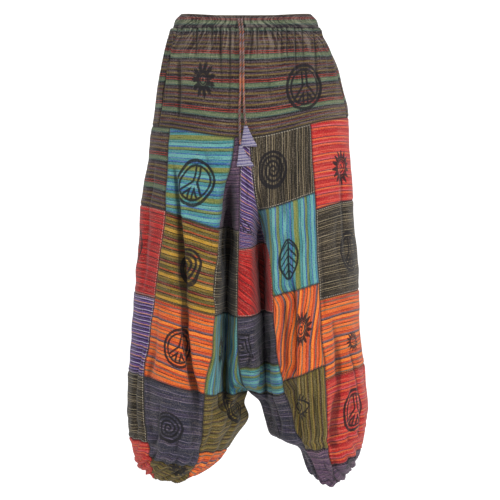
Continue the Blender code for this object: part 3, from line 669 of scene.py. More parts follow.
def cloth_material(name, cloth, turn=0.0, start=0.0, prints=(), sewn=True, rucked=0.0):
    """Handloom cotton: stripes at `turn` degrees from level, slubs, melange, block prints and seams.

    Fine gathers run down from its top edge and fade out over `rucked` metres, with painted shade in their
    hollows and painted highlights on their crests; its creases get painted shade from its fold map.
    """
    material, tree, shader = new_material(name)
    u, v = uv_fields(tree, "cloth")
    angle = math.radians(turn)
    weft = u * math.cos(angle) - v * math.sin(angle)
    warp = v * math.cos(angle) + u * math.sin(angle)
    sway = noise_field(tree, weft * 11, warp * 9, 1.0, 3.0)
    across = warp + (sway - 0.5) * 0.0042 + start
    colour = stripe_colour(tree, across, STRIPES[cloth], DEPTHS.get(cloth, 1.0))

    # Each yarn runs a little paler or darker for some centimetres, and slubs and flecks cross it.
    yarns = noise_field(tree, weft * 24, warp * 850, 2.0, 1.0)
    flecks = noise_field(tree, weft * 420, warp * 300, 2.0, 5.0)
    fade = noise_field(tree, weft * 7, warp * 7, 2.0, 7.0)
    shade = (yarns - 0.5) * 1.5 + (flecks - 0.5) * 1.2 + (fade - 0.5) * 0.5
    pale = (shade * 0.62).most(0.0).least(0.42)
    dark = (shade * -1.5).most(0.0).least(0.65)
    colour = mix(tree, pale, colour, linear((176, 158, 138)))
    colour = mix(tree, dark, colour, linear((16, 13, 16)))

    worn = noise_field(tree, u * 260, v * 260, 2.0, 9.0)
    for printed in prints:
        x = (u - printed.u) / (printed.size * printed.aspect)
        y = (v * -1 + printed.v) / printed.size
        group = tree.nodes.new("ShaderNodeGroup")
        group.node_tree = motif_group(printed.motif)
        rough = (worn - 0.5) * 0.07
        tree.links.new((x + rough).socket, group.inputs["X"])
        tree.links.new((y + rough).socket, group.inputs["Y"])
        ink = Field(tree, group.outputs["Mask"]) * (worn * 0.5 + 0.68).least(0.96)
        colour = mix(tree, ink, colour, INK)

    height = yarns * 0.5 + flecks * 0.5
    if sewn:
        side, end = uv_fields(tree, "edge")
        thread = linear(PALE_THREAD if cloth in PALE_STITCHED else DARK_THREAD)
        stitched = (end.line(0.0026, 0.0016, 0.0005) * dashes(u)).most(
            side.line(0.0026, 0.0013, 0.0005) * dashes(v)
        )
        colour = mix(tree, stitched * 0.60, colour, thread)
        nearest = side.least(end)
        # A thin dark line along each sewn edge: painted shade in the seam's groove.
        colour = mix(tree, nearest.below(0.0010, 0.0007) * 0.75, colour, linear((20, 17, 19)))
        height = height + stitched * 1.4 - nearest.below(0.0012, 0.0008)

    if rucked:
        tucks = noise_field(tree, u * RUCK_PITCH, v * RUCK_FALL, 1.0, 11.0) - 0.5
        tucks = tucks * (1 - v / rucked).most(0.0)
        # Painted shade in the gathers' hollows and painted highlights on their crests; the same gathers also
        # make the bump below.
        colour = mix(tree, (tucks * -4.6).most(0.0).least(0.62), colour, linear((14, 11, 18)))
        colour = mix(tree, (tucks * 1.5).most(0.0).least(0.15), colour, linear((176, 164, 152)))
        height = height + tucks * 5.0

    # Painted shade in the creases: the cloth is darkened where its fold map says it lies under the cloth
    # beside it.
    hollow, _ = uv_fields(tree, "fold")
    crease_shade = ((hollow - HOLLOW_START) * HOLLOW_RATE).most(0.0).least(HOLLOW_MOST)
    colour = mix(tree, crease_shade, colour, linear((10, 8, 11)))
    tree.links.new(colour, shader.inputs["Base Color"])
    weave = u.node("SINE", u * 5200) * v.node("SINE", v * 5200)
    add_bump(tree, shader, height + weave * 0.22, 0.55, 0.0006)
    shader.inputs["Roughness"].default_value = 0.88
    shader.inputs["Specular IOR Level"].default_value = 0.22
    shader.inputs["Sheen Weight"].default_value = 0.08
    shader.inputs["Sheen Roughness"].default_value = 0.5
    return material

# --- creases -----------------------------------------------------------------------------------------
# A soft trough, or a ridge where depth is negative, from (a0, d0) to (a1, d1). On the front and back
# a is x, on a side it is y, and d is the drop from the top edge. bow bends it sideways in its middle.
# The rows are in millimetres.
Crease = namedtuple("Crease", "a0 d0 a1 d1 width depth bow")
CREASE_DEPTH = 1.45  # times each crease's own depth
CREASE_ROWS = {
    "front": (
        (-141, 80, -142, 225, 4.5, 2.8, 2), (-148, 90, -150, 220, 5, -1.6, 2),
        (128, 50, 150, 205, 6, 2, 4), (40, 60, 52, 190, 7, 1.8, -4),
        (-60, 50, -52, 170, 7, 1.8, 3), (-156, 285, -128, 600, 6, 9.5, 6),
        (-145, 300, -117, 600, 7, -5, 6), (-129, 565, -100, 800, 6, 10, -6),
        (-118, 600, -89, 780, 7.5, -5, -6), (-92, 262, -66, 400, 7, 2.8, 4),
        (-72, 430, -56, 610, 7, 4, -4), (-204, 400, -222, 600, 6, 3.2, 4),
        (-184, 560, -206, 760, 7, 3.4, 5), (-176, 770, -190, 915, 6.5, 4.4, -6),
        (-120, 790, -112, 925, 7, 4, 6), (-150, 830, -146, 935, 6, 3, 3),
        (-64, 780, -94, 915, 8, 5.5, 10), (-30, 800, -60, 900, 8, 4, 6),
        (-205, 830, -198, 930, 6, 3.6, 4), (90, 530, 92, 760, 5.5, 9.5, 3),
        (101, 545, 103, 750, 7, -4.8, 3), (92, 730, 112, 900, 6, 8.5, -5),
        (58, 270, 74, 430, 7, 3, 5), (76, 430, 88, 560, 7, 3, -3),
        (150, 430, 156, 640, 7.5, 3.6, 4), (186, 390, 200, 590, 7, 3.2, -4),
        (172, 600, 186, 770, 7, 4.6, 5), (190, 760, 172, 930, 7.5, 4.8, -6),
        (215, 740, 204, 900, 6, 3.4, 4), (130, 760, 140, 900, 6.5, 3.8, 5),
        (148, 850, 160, 950, 5.5, 3.6, 3), (24, 460, 30, 640, 6, 3, 2),
        (-6, 290, -4, 560, 6, 3.2, 6), (10, 620, -10, 740, 6, 4.8, 6),
    ),
    "back": (
        (-150, 70, -158, 220, 6, 2.4, 3), (-70, 50, -64, 190, 7, 1.8, 3),
        (60, 50, 70, 200, 7, 2, 3), (150, 60, 160, 210, 6, 2.4, 3),
        (-140, 290, -120, 600, 8, 6, 6), (-126, 300, -106, 590, 10, -3, 6),
        (-122, 600, -104, 820, 8, 6, -5), (124, 280, 112, 560, 8, 5.6, -6),
        (110, 290, 98, 560, 10, -3, -6), (114, 570, 122, 800, 8, 5.6, 5),
        (-190, 420, -206, 640, 7, 3.6, 4), (186, 400, 198, 620, 7, 3.6, 4),
        (-176, 700, -170, 910, 8, 4.6, 6), (176, 680, 168, 900, 8, 4.6, 6),
        (-80, 760, -112, 910, 8, 4.4, 8), (84, 760, 126, 900, 8, 4.4, 8),
    ),
    "right": (
        (-60, 280, -72, 560, 8, 4, 5), (30, 260, 40, 500, 8, 3.4, 5),
        (-20, 480, -10, 760, 8.5, 5, 6), (80, 560, 70, 840, 8, 4.6, 5),
        (-90, 640, -70, 900, 8, 4.6, 5), (20, 760, 10, 930, 7, 4, 4),
    ),
    "left": (
        (-64, 270, -80, 540, 8, 4, 5), (40, 300, 34, 560, 8, 3.6, 5),
        (-14, 520, -24, 790, 8.5, 5, 6), (86, 560, 76, 820, 8, 4.4, 5),
        (-96, 660, -70, 900, 8, 4.6, 5), (26, 740, 14, 920, 7, 4, 4),
    ),
}
# Gathers fade out down from the waist over `reach` lines, or come in from a line over `rise` lines at
# the hem. A rumple is soft noise of a size, less at the waist.
WaistGather = namedtuple("WaistGather", "pitch height seed reach uneven power")
WAIST_GATHERS = (
    WaistGather(0.0096, 0.0026, 0, 3.0, True, 0.8), WaistGather(0.0170, 0.0028, 1, 4.4, True, 1),
    WaistGather(0.0390, 0.0018, 5, 7.5, False, 1),
)
HemGather = namedtuple("HemGather", "pitch height seed first rise")
HEM_GATHERS = (HemGather(0.0190, 0.0040, 2, 24.5, 4.0), HemGather(0.0330, 0.0040, 3, 22.0, 5.0))
Rumple = namedtuple("Rumple", "scale seed height rise least")
RUMPLES = (Rumple(0.085, 3.1, 0.0046, 8, 0.2), Rumple(0.034, 7.7, 0.0022, 6, 0.3))
HOLLOW_REACHES = ((0.0035, 1.0), (0.009, 0.45), (0.024, 0.10))  # how far beside a point, and its weight
FACES = {"front": (0, 1, -1), "back": (0, 1, 1), "right": (1, 0, -1), "left": (1, 0, 1)}


def crease_depth(points, normals):
    """How far in the creases take each point."""
    depth = np.zeros(points.shape[:-1])
    drop = BAND_HEIGHT / 2 - points[..., 2]
    creases = [(f, Crease(*(size / 1000 for size in row))) for f, rows in CREASE_ROWS.items() for row in rows]
    for face, crease in creases:
        along_axis, facing_axis, sign = FACES[face]
        a = points[..., along_axis]
        run = np.array((crease.a1 - crease.a0, crease.d1 - crease.d0))
        length = np.hypot(*run)
        run /= length
        along = ((a - crease.a0) * run[0] + (drop - crease.d0) * run[1]) / length
        aside = (a - crease.a0) * run[1] - (drop - crease.d0) * run[0]
        aside = aside - crease.bow * 4 * along * (1 - along)
        fade = smooth_rise(along / 0.25) * smooth_rise((1 - along) / 0.25)
        facing = smooth_rise((sign * normals[..., facing_axis] - 0.1) / 0.35)
        depth += CREASE_DEPTH * crease.depth * fade * facing * np.exp(-((aside / crease.width) ** 2))
    return depth


def gather(along, pitch, seed):
    """Uneven gathers: a wave of about `pitch` whose spacing and height wander."""
    wander = 1.7 * np.sin(along / (pitch * 2.7) + seed) + 1.1 * np.sin(along / (pitch * 1.3) + 2.3 * seed)
    height = 0.75 + 0.25 * np.sin(along / (pitch * 1.9) + 4.1 * seed)
    return np.sin(2 * math.pi * along / pitch + wander) * height


def rumple(points, scale, seed):
    """Smooth noise over the points, from -1 to 1."""
    flat = points.reshape(-1, 3) / scale + seed
    return np.array([noise.noise(Vector(p)) for p in flat]).reshape(points.shape[:-1])


def hollows(grid):
    """How far each point lies under the points beside it: more in creases, less than 0 on crests."""
    down, along = np.gradient(grid, axis=0), np.gradient(grid, axis=1)
    out = unit(np.cross(down, along))
    steps = np.linalg.norm(np.diff(grid, axis=1), axis=2).mean()
    found = np.zeros(grid.shape[:2])
    for reach, weight in HOLLOW_REACHES:
        beside = max(1, round(reach / steps))
        # past the ends the cloth goes on as it is there
        before = 2 * grid[:, :1] - grid[:, beside:0:-1]
        after = 2 * grid[:, -1:] - grid[:, -2 : -beside - 2 : -1]
        padded = np.concatenate([before, grid, after], axis=1)
        mean = (padded[:, : grid.shape[1]] + padded[:, 2 * beside:]) / 2
        found += weight * np.sum((mean - grid) * out, axis=2)
    return found


def arc_lengths(grid):
    steps = np.linalg.norm(np.diff(grid, axis=1), axis=2)
    return np.concatenate([np.zeros((len(grid), 1)), np.cumsum(steps, axis=1)], axis=1)


def down_lengths(grid):
    """How far down the grid each row is, on average."""
    fall = np.linalg.norm(np.diff(grid, axis=0), axis=2).mean(axis=1)
    return np.concatenate([[0], np.cumsum(fall)])


def shaped(leg, grid, normals):
    """The leg's grid with its creases, gathers and rumples."""
    lines = np.arange(len(grid))[:, None] / PER_LINE
    along = arc_lengths(grid)
    seed = 1.0 if leg.side < 0 else 4.0
    wander = np.clip(0.75 + 0.5 * np.sin(along / 0.031 + seed) + 0.35 * np.sin(along / 0.013), 0.2, 1.6)
    out = np.zeros(along.shape)
    for row in WAIST_GATHERS:
        fade = np.clip(1 - lines / (row.reach * wander if row.uneven else row.reach), 0, 1) ** row.power
        out += gather(along, row.pitch, seed + row.seed) * row.height * fade
    for row in HEM_GATHERS:
        rise = smooth_rise((lines - row.first) / row.rise)
        out += gather(along, row.pitch, seed + row.seed) * row.height * rise
    for row in RUMPLES:
        out += rumple(grid, row.scale, row.seed) * row.height * np.clip(lines / row.rise, row.least, 1)
    out -= crease_depth(grid, normals)
    out[:, [0, -1]] = 0
    edge = np.minimum(along, along[:, -1:] - along)
    out *= smooth_rise(edge / 0.012)
    return grid + normals * out[..., None]


def denser(grid, times):
    """The grid with each step along its rows split into `times`."""
    at = np.arange(0, grid.shape[1] - 1 + 0.5 / times, 1 / times)
    low = np.minimum(at.astype(int), grid.shape[1] - 2)
    share = (at - low)[None, :, None]
    return grid[:, low] * (1 - share) + grid[:, low + 1] * share

DIP, ROLL = 0.0013, 0.0007  # how far a seam's edge is drawn down, and how high the roll beside it is
YOKE_FINER = 2  # how many times finer the yoke's grid is across
STRIPE_SHIFT = 0.007  # how far on each patch starts in its cloth's repeat


# --- pieces ------------------------------------------------------------------------------------------
def grid_faces(rows, columns, closed=False, turned=False):
    """The faces between rows of points; `turned` makes them face the other way."""
    faces = []
    for r in range(rows - 1):
        for c in range(columns if closed else columns - 1):
            a, b = r * columns + c, r * columns + (c + 1) % columns
            faces.append((a, b, b + columns, a + columns) if turned else (a, a + columns, b + columns, b))
    return faces


def new_piece(name, points, faces, maps=()):
    """A smooth mesh. `maps` holds each UV map's name and its values, one for each corner of a face."""
    mesh = bpy.data.meshes.new(name)
    mesh.from_pydata(np.reshape(points, (-1, 3)).tolist(), [], faces)
    for layer, values in maps:
        mesh.uv_layers.new(name=layer).data.foreach_set("uv", np.ravel(values).astype(float))
    mesh.shade_smooth()
    made = bpy.data.objects.new(name, mesh)
    bpy.context.scene.collection.objects.link(made)
    return made


def shell(name, grid, thickness=CLOTH, closed=False, anchor=0.5):
    """A thin shell on a grid of points whose rows run down and columns run to the viewer's right.

    Its map "cloth" is in metres from `anchor` of its width and from its top, "edge" holds the
    distances to its nearest side edge and its nearest end edge, and "fold" how deep its creases are.
    """
    rows, columns = grid.shape[:2]
    along = arc_lengths(grid)
    width = along[:, -1:]
    down = down_lengths(grid)[:, None] * np.ones((1, columns))
    cloth = np.stack([along - width * anchor, down], axis=-1).reshape(-1, 2)
    side = np.minimum(along, width - along)
    end = np.minimum(down, down[-1:] - down)
    edges = np.stack([side, end], axis=-1).reshape(-1, 2)
    depth = hollows(grid)
    folds = np.stack([depth, depth], axis=-1).reshape(-1, 2)
    faces = grid_faces(rows, columns, closed)
    corners = np.array(faces).reshape(-1)
    maps = {"cloth": cloth[corners], "edge": edges[corners], "fold": folds[corners]}
    if closed:
        # the last column's corners go on past the seam, so that no stripe runs back across it
        wrapped = maps["cloth"].reshape(-1, 4, 2)
        last = np.arange(len(faces)) % columns == columns - 1
        wrapped[last, 2:, 0] = wrapped[last, :1, 0] + width.mean() / (columns - 1)
    made = new_piece(name, grid, faces, maps.items())
    solid = made.modifiers.new("cloth", "SOLIDIFY")
    solid.thickness = thickness
    solid.offset = -1
    return made


def dipped(grid, normals):
    """The grid with its edges drawn down to their seams, and a soft roll beside each seam."""
    along = arc_lengths(grid)
    down = down_lengths(grid)[:, None]
    edge = np.minimum(np.minimum(along, along[:, -1:] - along), np.minimum(down, down[-1] - down))
    lift = ROLL * np.exp(-(((edge - 0.0065) / 0.0035) ** 2)) - DIP * np.exp(-((edge / 0.0022) ** 2))
    return grid + normals * lift[..., None]


def measured(grid):
    """The piece's mean width and length, which are the size it was cut to inside its seams."""
    width = arc_lengths(grid)[:, -1].mean()
    length = np.linalg.norm(np.diff(grid, axis=0), axis=2).sum(axis=0).mean()
    return round(float(width), 3), round(float(length), 3)


def finish_piece(made, node, material, flat):
    made.data.materials.append(material)
    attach(made, "root")
    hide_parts(node)


def nearest_uv(grid, normals, x, drop, anchor):
    """The cloth UV of the front point at x and drop."""
    z = BAND_HEIGHT / 2 - drop
    gap = np.hypot(grid[..., 0] - x, grid[..., 2] - z) + np.where(normals[..., 1] < 0.05, 0, 9)
    r, c = np.unravel_index(np.argmin(gap), gap.shape)
    along = arc_lengths(grid)
    return float(along[r, c] - along[r, -1] * anchor), float(down_lengths(grid)[r])


def prints_of(node, grid, normals, anchor=0.5):
    width, length = measured(grid)
    return [
        Print(p.motif, *nearest_uv(grid, normals, p.x, p.drop, anchor), p.size, p.aspect)
        for p in FRONT_PRINTS
        if p.node == node
    ] + [
        Print(p.motif, (p.across - anchor) * width, p.down * length, p.size, p.aspect)
        for p in HIDDEN_PRINTS
        if p.node == node
    ]


# Each patch from the top down: its cloth, and how far its stripes turn from level, in degrees.
PATCHES = {
    "right_crotch_front": (
        ("plum", 8), ("ebony", 0), ("teal", 88), ("moss", 10), ("orange", 0),
    ),
    "right_front": (
        ("teal", 8), ("mustard", 0), ("orange", 0), ("slate", 0), ("moss", 0),
    ),
    "right_side": (
        ("yoke", 0), ("scarlet", 0), ("violet", 0), ("ebony", 0), ("rose", 0),
    ),
    "right_back": (("mustard", 0), ("slate", 90), ("rose", 0), ("teal", 0)),
    "right_crotch_back": (
        ("orange", 0), ("violet", 90), ("scarlet", 0), ("moss", 0),
    ),
    "left_crotch_front": (
        ("violet", -42), ("scarlet", -36), ("slate", 6), ("teal", 0), ("slate", 0),
    ),
    "left_front": (
        ("ebony", 86), ("teal", 90), ("orange", 80), ("moss", 90), ("plum", 0),
    ),
    "left_side": (
        ("rose", -4), ("ebony", 0), ("orange", 0), ("rose", 0), ("plum", 0),
    ),
    "left_back": (("violet", 0), ("mustard", 90), ("slate", 0), ("orange", 90)),
    "left_crotch_back": (("moss", 90), ("rose", 0), ("teal", 90), ("plum", 0)),
}

FrontPrint = namedtuple("FrontPrint", "node motif x drop size aspect")
FRONT_PRINTS = [FrontPrint(*row) for row in (
    ("yoke_front", flower, -0.091, 0.134, 0.039, 0.68),
    ("yoke_front", peace, 0.116, 0.151, 0.052, 0.84),
    ("right_front_1", peace, -0.107, 0.347, 0.052, 0.80),
    ("right_front_2", spiral, -0.124, 0.514, 0.040, 0.90),
    ("right_front_3", peace, -0.137, 0.680, 0.043, 0.90),
    ("right_front_4", spiral, -0.162, 0.845, 0.033, 1.0),
    ("right_front_5", flower, -0.141, 0.935, 0.022, 1.2),
    ("right_side_2", leaf, -0.226, 0.480, 0.036, 0.9),
    ("right_crotch_front_2", flower, -0.050, 0.522, 0.032, 0.8),
    ("right_crotch_front_3", sun, -0.055, 0.690, 0.030, 0.8),
    ("right_crotch_front_4", spiral, -0.026, 0.818, 0.030, 1.0),
    ("left_crotch_front_1", leaf, -0.014, 0.430, 0.036, 0.6),
    ("left_crotch_front_3", square_spiral, -0.014, 0.680, 0.032, 0.8),
    ("left_crotch_front_5", spiral, 0.055, 0.862, 0.026, 1.0),
    ("left_front_1", spiral, 0.052, 0.316, 0.039, 0.8),
    ("left_front_2", leaf, 0.083, 0.499, 0.044, 0.75),
    ("left_front_3", sun, 0.108, 0.643, 0.037, 0.75),
    ("left_front_4", eye, 0.105, 0.800, 0.034, 0.8),
    ("left_side_1", sun, 0.191, 0.316, 0.037, 0.85),
    ("left_side_2", peace, 0.212, 0.491, 0.042, 0.8),
    ("left_side_3", sun, 0.218, 0.674, 0.022, 1.0),
    ("left_side_4", peace, 0.222, 0.810, 0.044, 0.85),
    ("left_side_5", flower, 0.214, 0.915, 0.025, 1.0),
)]
HiddenPrint = namedtuple("HiddenPrint", "node motif across down size aspect")
HIDDEN_PRINTS = [HiddenPrint(*row) for row in (
    ("yoke_back", spiral, 0.28, 0.52, 0.040, 1.0),
    ("yoke_back", sun, 0.72, 0.50, 0.042, 1.0),
    ("right_side_1", sun, 0.46, 0.50, 0.036, 1.0),
    ("right_side_3", peace, 0.42, 0.46, 0.044, 0.9),
    ("right_side_4", flower, 0.52, 0.50, 0.034, 1.0),
    ("left_side_2", square_spiral, 0.70, 0.52, 0.036, 1.0),
    ("left_side_3", leaf, 0.72, 0.50, 0.044, 0.8),
    ("right_back_1", peace, 0.50, 0.50, 0.046, 0.9),
    ("right_back_2", sun, 0.52, 0.48, 0.040, 1.0),
    ("right_back_3", spiral, 0.48, 0.50, 0.038, 1.0),
    ("right_back_4", leaf, 0.46, 0.46, 0.036, 0.8),
    ("left_back_1", flower, 0.50, 0.50, 0.038, 1.0),
    ("left_back_2", peace, 0.50, 0.50, 0.046, 0.9),
    ("left_back_3", square_spiral, 0.50, 0.52, 0.034, 1.0),
    ("left_back_4", sun, 0.52, 0.46, 0.034, 1.0),
    ("right_crotch_back_2", eye, 0.60, 0.50, 0.032, 1.0),
    ("left_crotch_back_1", spiral, 0.60, 0.50, 0.032, 1.0),
    ("left_crotch_back_3", sun, 0.55, 0.50, 0.034, 1.0),
)]


def build_patches(leg, grid, normals):
    for column in COLUMNS:
        seams = leg.seams[column.name]
        patches = PATCHES[f"{leg.name}_{column.name}"]
        across = slice(column.first * PER_FACET, column.last * PER_FACET + 1)
        for row, (first, last, (cloth, turn)) in enumerate(zip(seams, seams[1:], patches), start=1):
            down = slice(first * PER_LINE, last * PER_LINE + 1)
            points, out = grid[down, across], normals[down, across]
            if leg.side < 0:
                points, out = points[:, ::-1], out[:, ::-1]
            node = f"{leg.name}_{column.name}_{row}"
            outer = {"front": (leg.side + 1) / 2, "back": (1 - leg.side) / 2}  # the edge by the leg's side
            anchor = outer.get(column.name.split("_")[-1], 0.5)
            prints = prints_of(node, points, out, anchor)
            material = cloth_material(node, cloth, turn, STRIPE_SHIFT * row, prints)
            made = shell(f"cloth_{node}", dipped(points, out), anchor=anchor)
            finish_piece(made, node, material, measured(points))


def build_yoke(forms, form_normals):
    """The yoke's two panels, on a grid fine enough for the gathers at the waist."""
    seam = AT["seam"] * PER_FACET * YOKE_FINER
    rows = slice(0, YOKE_LAST * PER_LINE + 1)
    normals = [unit(denser(out[rows], YOKE_FINER)) for out in form_normals]
    finer = [denser(form[rows], YOKE_FINER) for form in forms]
    right, left = (shaped(leg, form, out) for leg, form, out in zip(LEGS, finer, normals))
    right_out, left_out = normals
    front = np.concatenate([right[rows, seam:0:-1], left[rows, : seam + 1]], axis=1)
    front_out = np.concatenate([right_out[rows, seam:0:-1], left_out[rows, : seam + 1]], axis=1)
    back = np.concatenate([left[rows, seam:-1], right[rows, : seam - 1 : -1]], axis=1)
    back_out = np.concatenate([left_out[rows, seam:-1], right_out[rows, : seam - 1 : -1]], axis=1)
    lines = np.arange(len(front)) / PER_LINE
    mouth = np.sin(math.pi * np.clip((lines - 1) / (YOKE_LAST - 1), 0, 1))
    reach = 2 * PER_FACET * YOKE_FINER
    ease = np.linspace(1, 0, reach) ** 2
    for edge, step in ((0, 1), (-1, -1)):
        away = unit(front[:, edge + step * reach] - front[:, edge])
        pull = (away + front_out[:, edge] * 0.6) * (mouth * POCKET_GAPE)[:, None]
        for i in range(reach):
            front[:, edge + step * i] += pull * ease[i]
    for name, points, out in (("yoke_front", front, front_out), ("yoke_back", back, back_out)):
        material = cloth_material(name, "yoke", 0.0, 0.010, prints_of(name, points, out), rucked=0.085)
        made = shell(f"cloth_{name}", dipped(points, out))
        finish_piece(made, name, material, measured(points))


def build_facing(leg, grid, normals):
    """The darker strip inside a pocket's mouth."""
    seam = AT["seam"] * PER_FACET
    rows = slice(PER_LINE, YOKE_LAST * PER_LINE + 1)
    spread = np.arange(-PER_FACET // 2, PER_FACET + 1)
    out = normals[rows, seam][:, None]
    points = grid[rows][:, seam + spread] - out * (WALL + 2 * GAP)
    if leg.side < 0:
        points = points[:, ::-1]
    node = f"{leg.name}_pocket_facing"
    finish_piece(
        shell(f"cloth_{node}", points), node, cloth_material(node, "yoke", 0, 0.024), measured(points)
    )


def ring_frame(ring):
    """A level ring's outward directions and how far along it each point is."""
    out = unit((ring - ring.mean(axis=0) * (1, 1, 0)) * (1, 1, 0))
    return out, lengths_to(ring)


def around_waist(grids):
    right, left = grids
    return np.concatenate([right[0, :0:-1], left[0, :-1]])


def build_waistband(grids):
    """The elastic casing, gathered all round, with a row of stitching near its foot."""
    base = around_waist(grids)
    out, along = ring_frame(base)
    frontness = np.clip(-base[:, 1] / base[:, 1].max(), 0, 1) ** 3
    foot = BAND_PROFILE[-1].drop
    drops = np.concatenate([[0.0022, 0.0006, 0.0], np.linspace(0.0008, foot, 14)])
    insets = np.interp(drops, [p.drop for p in BAND_PROFILE], [p.inset for p in BAND_PROFILE])
    insets[:3] += (BAND_WALL, BAND_WALL * 0.75, BAND_WALL * 0.35)
    insets += 0.0035 * np.clip(1 - drops / 0.012, 0, 1)
    rings = []
    for drop, inset in zip(drops, insets):
        share = drop / foot
        ruck = gather(along, 0.0082, 2.0) * 0.0021 * (0.35 + 0.65 * math.sin(math.pi * min(1, share + 0.1)))
        ruck += gather(along, 0.0205, 5.0) * 0.0010
        level = base * (1, 1, 0) + np.array((0, 0, BAND_HEIGHT / 2 - drop))
        level = level - out * (inset - ruck)[:, None]
        level[:, 2] -= frontness * BAND_SAG * (1 - share)
        rings.append(level)
    made = shell("cloth_waistband", np.array(rings), thickness=BAND_WALL * 0.8, closed=True)
    material = cloth_material("waistband", "yoke", 0, 0.046, rucked=0.40)
    girth = round(float(along[-1]), 3)
    finish_piece(made, "waistband", material, (girth, round(foot + 0.004, 3)))


def build_cuff(leg, grid):
    """The elastic casing at the ankle."""
    hem = grid[HEM * PER_LINE][:-1]
    out, along = ring_frame(hem)
    level = hem * (1, 1, 0) + out * (gather(along, 0.0105, 3.0) * 0.0010 - 0.0008)[:, None]
    top = hem[:, 2].max() - GAP - WALL
    points = np.array([level + (0, 0, top - share * CUFF_HEIGHT) for share in np.linspace(0, 1, 11)])
    if leg.side < 0:
        points = points[:, ::-1]
    node = f"{leg.name}_cuff"
    made = shell(f"cloth_{node}", points, thickness=CUFF_WALL * 0.7, closed=True)
    girth = round(float(along[-1]), 3)
    material = cloth_material(node, "ebony", rucked=0.40)
    finish_piece(made, node, material, (girth, CUFF_HEIGHT))

# --- drawstring --------------------------------------------------------------------------------------
# The CAD model's routes: x and drop down the front, and off, the distance from the cloth.
CordPoint = namedtuple("CordPoint", "x drop off")
CORD_ROUTES = {
    "short": (
        CordPoint(-0.0120, 0.013, -0.0034),
        CordPoint(-0.0112, 0.022, 0.0015),
        CordPoint(-0.0090, 0.040, 0.0070),
        CordPoint(-0.0085, 0.090, 0.0045),
        CordPoint(-0.0082, 0.140, 0.0045),
        CordPoint(-0.0072, 0.180, 0.0045),
        CordPoint(-0.0060, 0.205, 0.0075),
        CordPoint(-0.0035, 0.226, 0.0115),
    ),
    "long": (
        CordPoint(-0.0182, 0.013, -0.0034),
        CordPoint(-0.0170, 0.022, 0.0015),
        CordPoint(-0.0146, 0.040, 0.0065),
        CordPoint(-0.0141, 0.090, 0.0045),
        CordPoint(-0.0143, 0.150, 0.0045),
        CordPoint(-0.0160, 0.200, 0.0045),
        CordPoint(-0.0156, 0.235, 0.0080),
        CordPoint(-0.0140, 0.266, 0.0115),
    ),
}
TWIST_PITCH = 0.017  # one turn of the cord's three strands
TasselRow = namedtuple("TasselRow", "down width depth")
TASSEL_ROWS = (
    TasselRow(0.00, 0.20, 0.55), TasselRow(0.30, 0.42, 1.00), TasselRow(0.72, 0.78, 1.00),
    TasselRow(0.94, 1.00, 0.70), TasselRow(1.00, 0.97, 0.20),
)


def front_y(grids, x, drop):
    """The bare form's y at a place on the front."""
    right, left = grids
    rows = slice(0, (YOKE_LAST + 3) * PER_LINE)
    seam = AT["side"] * PER_FACET
    across = np.concatenate([right[rows, seam:0:-1], left[rows, :seam]], axis=1)
    heights = [np.interp(x, row[:, 0], row[:, 2]) for row in across]
    depths = [np.interp(x, row[:, 0], row[:, 1]) for row in across]
    return float(np.interp(drop - BAND_HEIGHT / 2, -np.array(heights), depths))


def smooth_route(points, step):
    points = np.array(points)
    knots = lengths_to(points)
    at = np.linspace(0, knots[-1], max(2, round(knots[-1] / step)) + 1)
    return np.array([[smooth_through(knots, points[:, k], t) for k in range(3)] for t in at])


def cord_material():
    """Twisted cotton in peach, rust, brown and cream, by place along and round the cord."""
    material, tree, shader = new_material("drawstring")
    u, v = uv_fields(tree, "cloth")
    chart = (
        (2.4, (150, 134, 146)), (1.8, (72, 54, 54)), (2.2, (176, 102, 62)), (2.0, (54, 44, 50)),
        (2.2, (158, 134, 118)), (1.4, (96, 66, 52)),
    )
    repeat = sum(width for width, _ in chart) / 1000
    strands = stripe_colour(tree, (u - v / TWIST_PITCH) * repeat, chart)
    change = noise_field(tree, u * 1.5, v * 34, 2.0, 2.0)
    colour = mix(tree, ((change - 0.5) * 4.0).most(0.0).least(0.70), strands, linear((164, 88, 48)))
    colour = mix(tree, ((change - 0.5) * -4.5).most(0.0).least(0.70), colour, linear((78, 60, 54)))
    tree.links.new(colour, shader.inputs["Base Color"])
    add_bump(tree, shader, noise_field(tree, u * 40, v * 1400, 2.0, 4.0), 0.5, 0.0004)
    shader.inputs["Roughness"].default_value = 0.8
    shader.inputs["Sheen Weight"].default_value = 0.2
    return material


def twisted_tube(name, path):
    """A closed tube on the path with three rounded strands that turn about it."""
    sides = 24
    tangents = unit(np.gradient(path, axis=0))
    across = unit(np.cross(tangents, (0.0, 1.0, 0.0)))
    facing = np.cross(tangents, across)
    along = lengths_to(path)
    around = np.linspace(0, 2 * math.pi, sides, endpoint=False)
    points = []
    for i, middle in enumerate(path):
        turn = 2 * math.pi * along[i] / TWIST_PITCH
        end = 0.55 if i in (0, len(path) - 1) else 1.0
        reach = CORD_DIAMETER / 2 * (0.86 + 0.14 * np.cos(3 * (around - turn))) * end
        points.append(middle + reach[:, None] * (
            np.cos(around)[:, None] * across[i] + np.sin(around)[:, None] * facing[i]
        ))
    faces = grid_faces(len(path), sides, closed=True, turned=True)
    square = ((0, 0), (1, 0), (1, 1), (0, 1))
    corners = [(face[0] % sides + i, face[0] // sides + j) for face in faces for i, j in square]
    for r, order in ((0, range(sides - 1, -1, -1)), (len(path) - 1, range(sides))):
        faces.append([r * sides + s for s in order])
        corners += [(s, r) for s in order]
    made = new_piece(name, points, faces, [("cloth", [(s / sides, along[r]) for s, r in corners])])
    return made, float(along[-1])


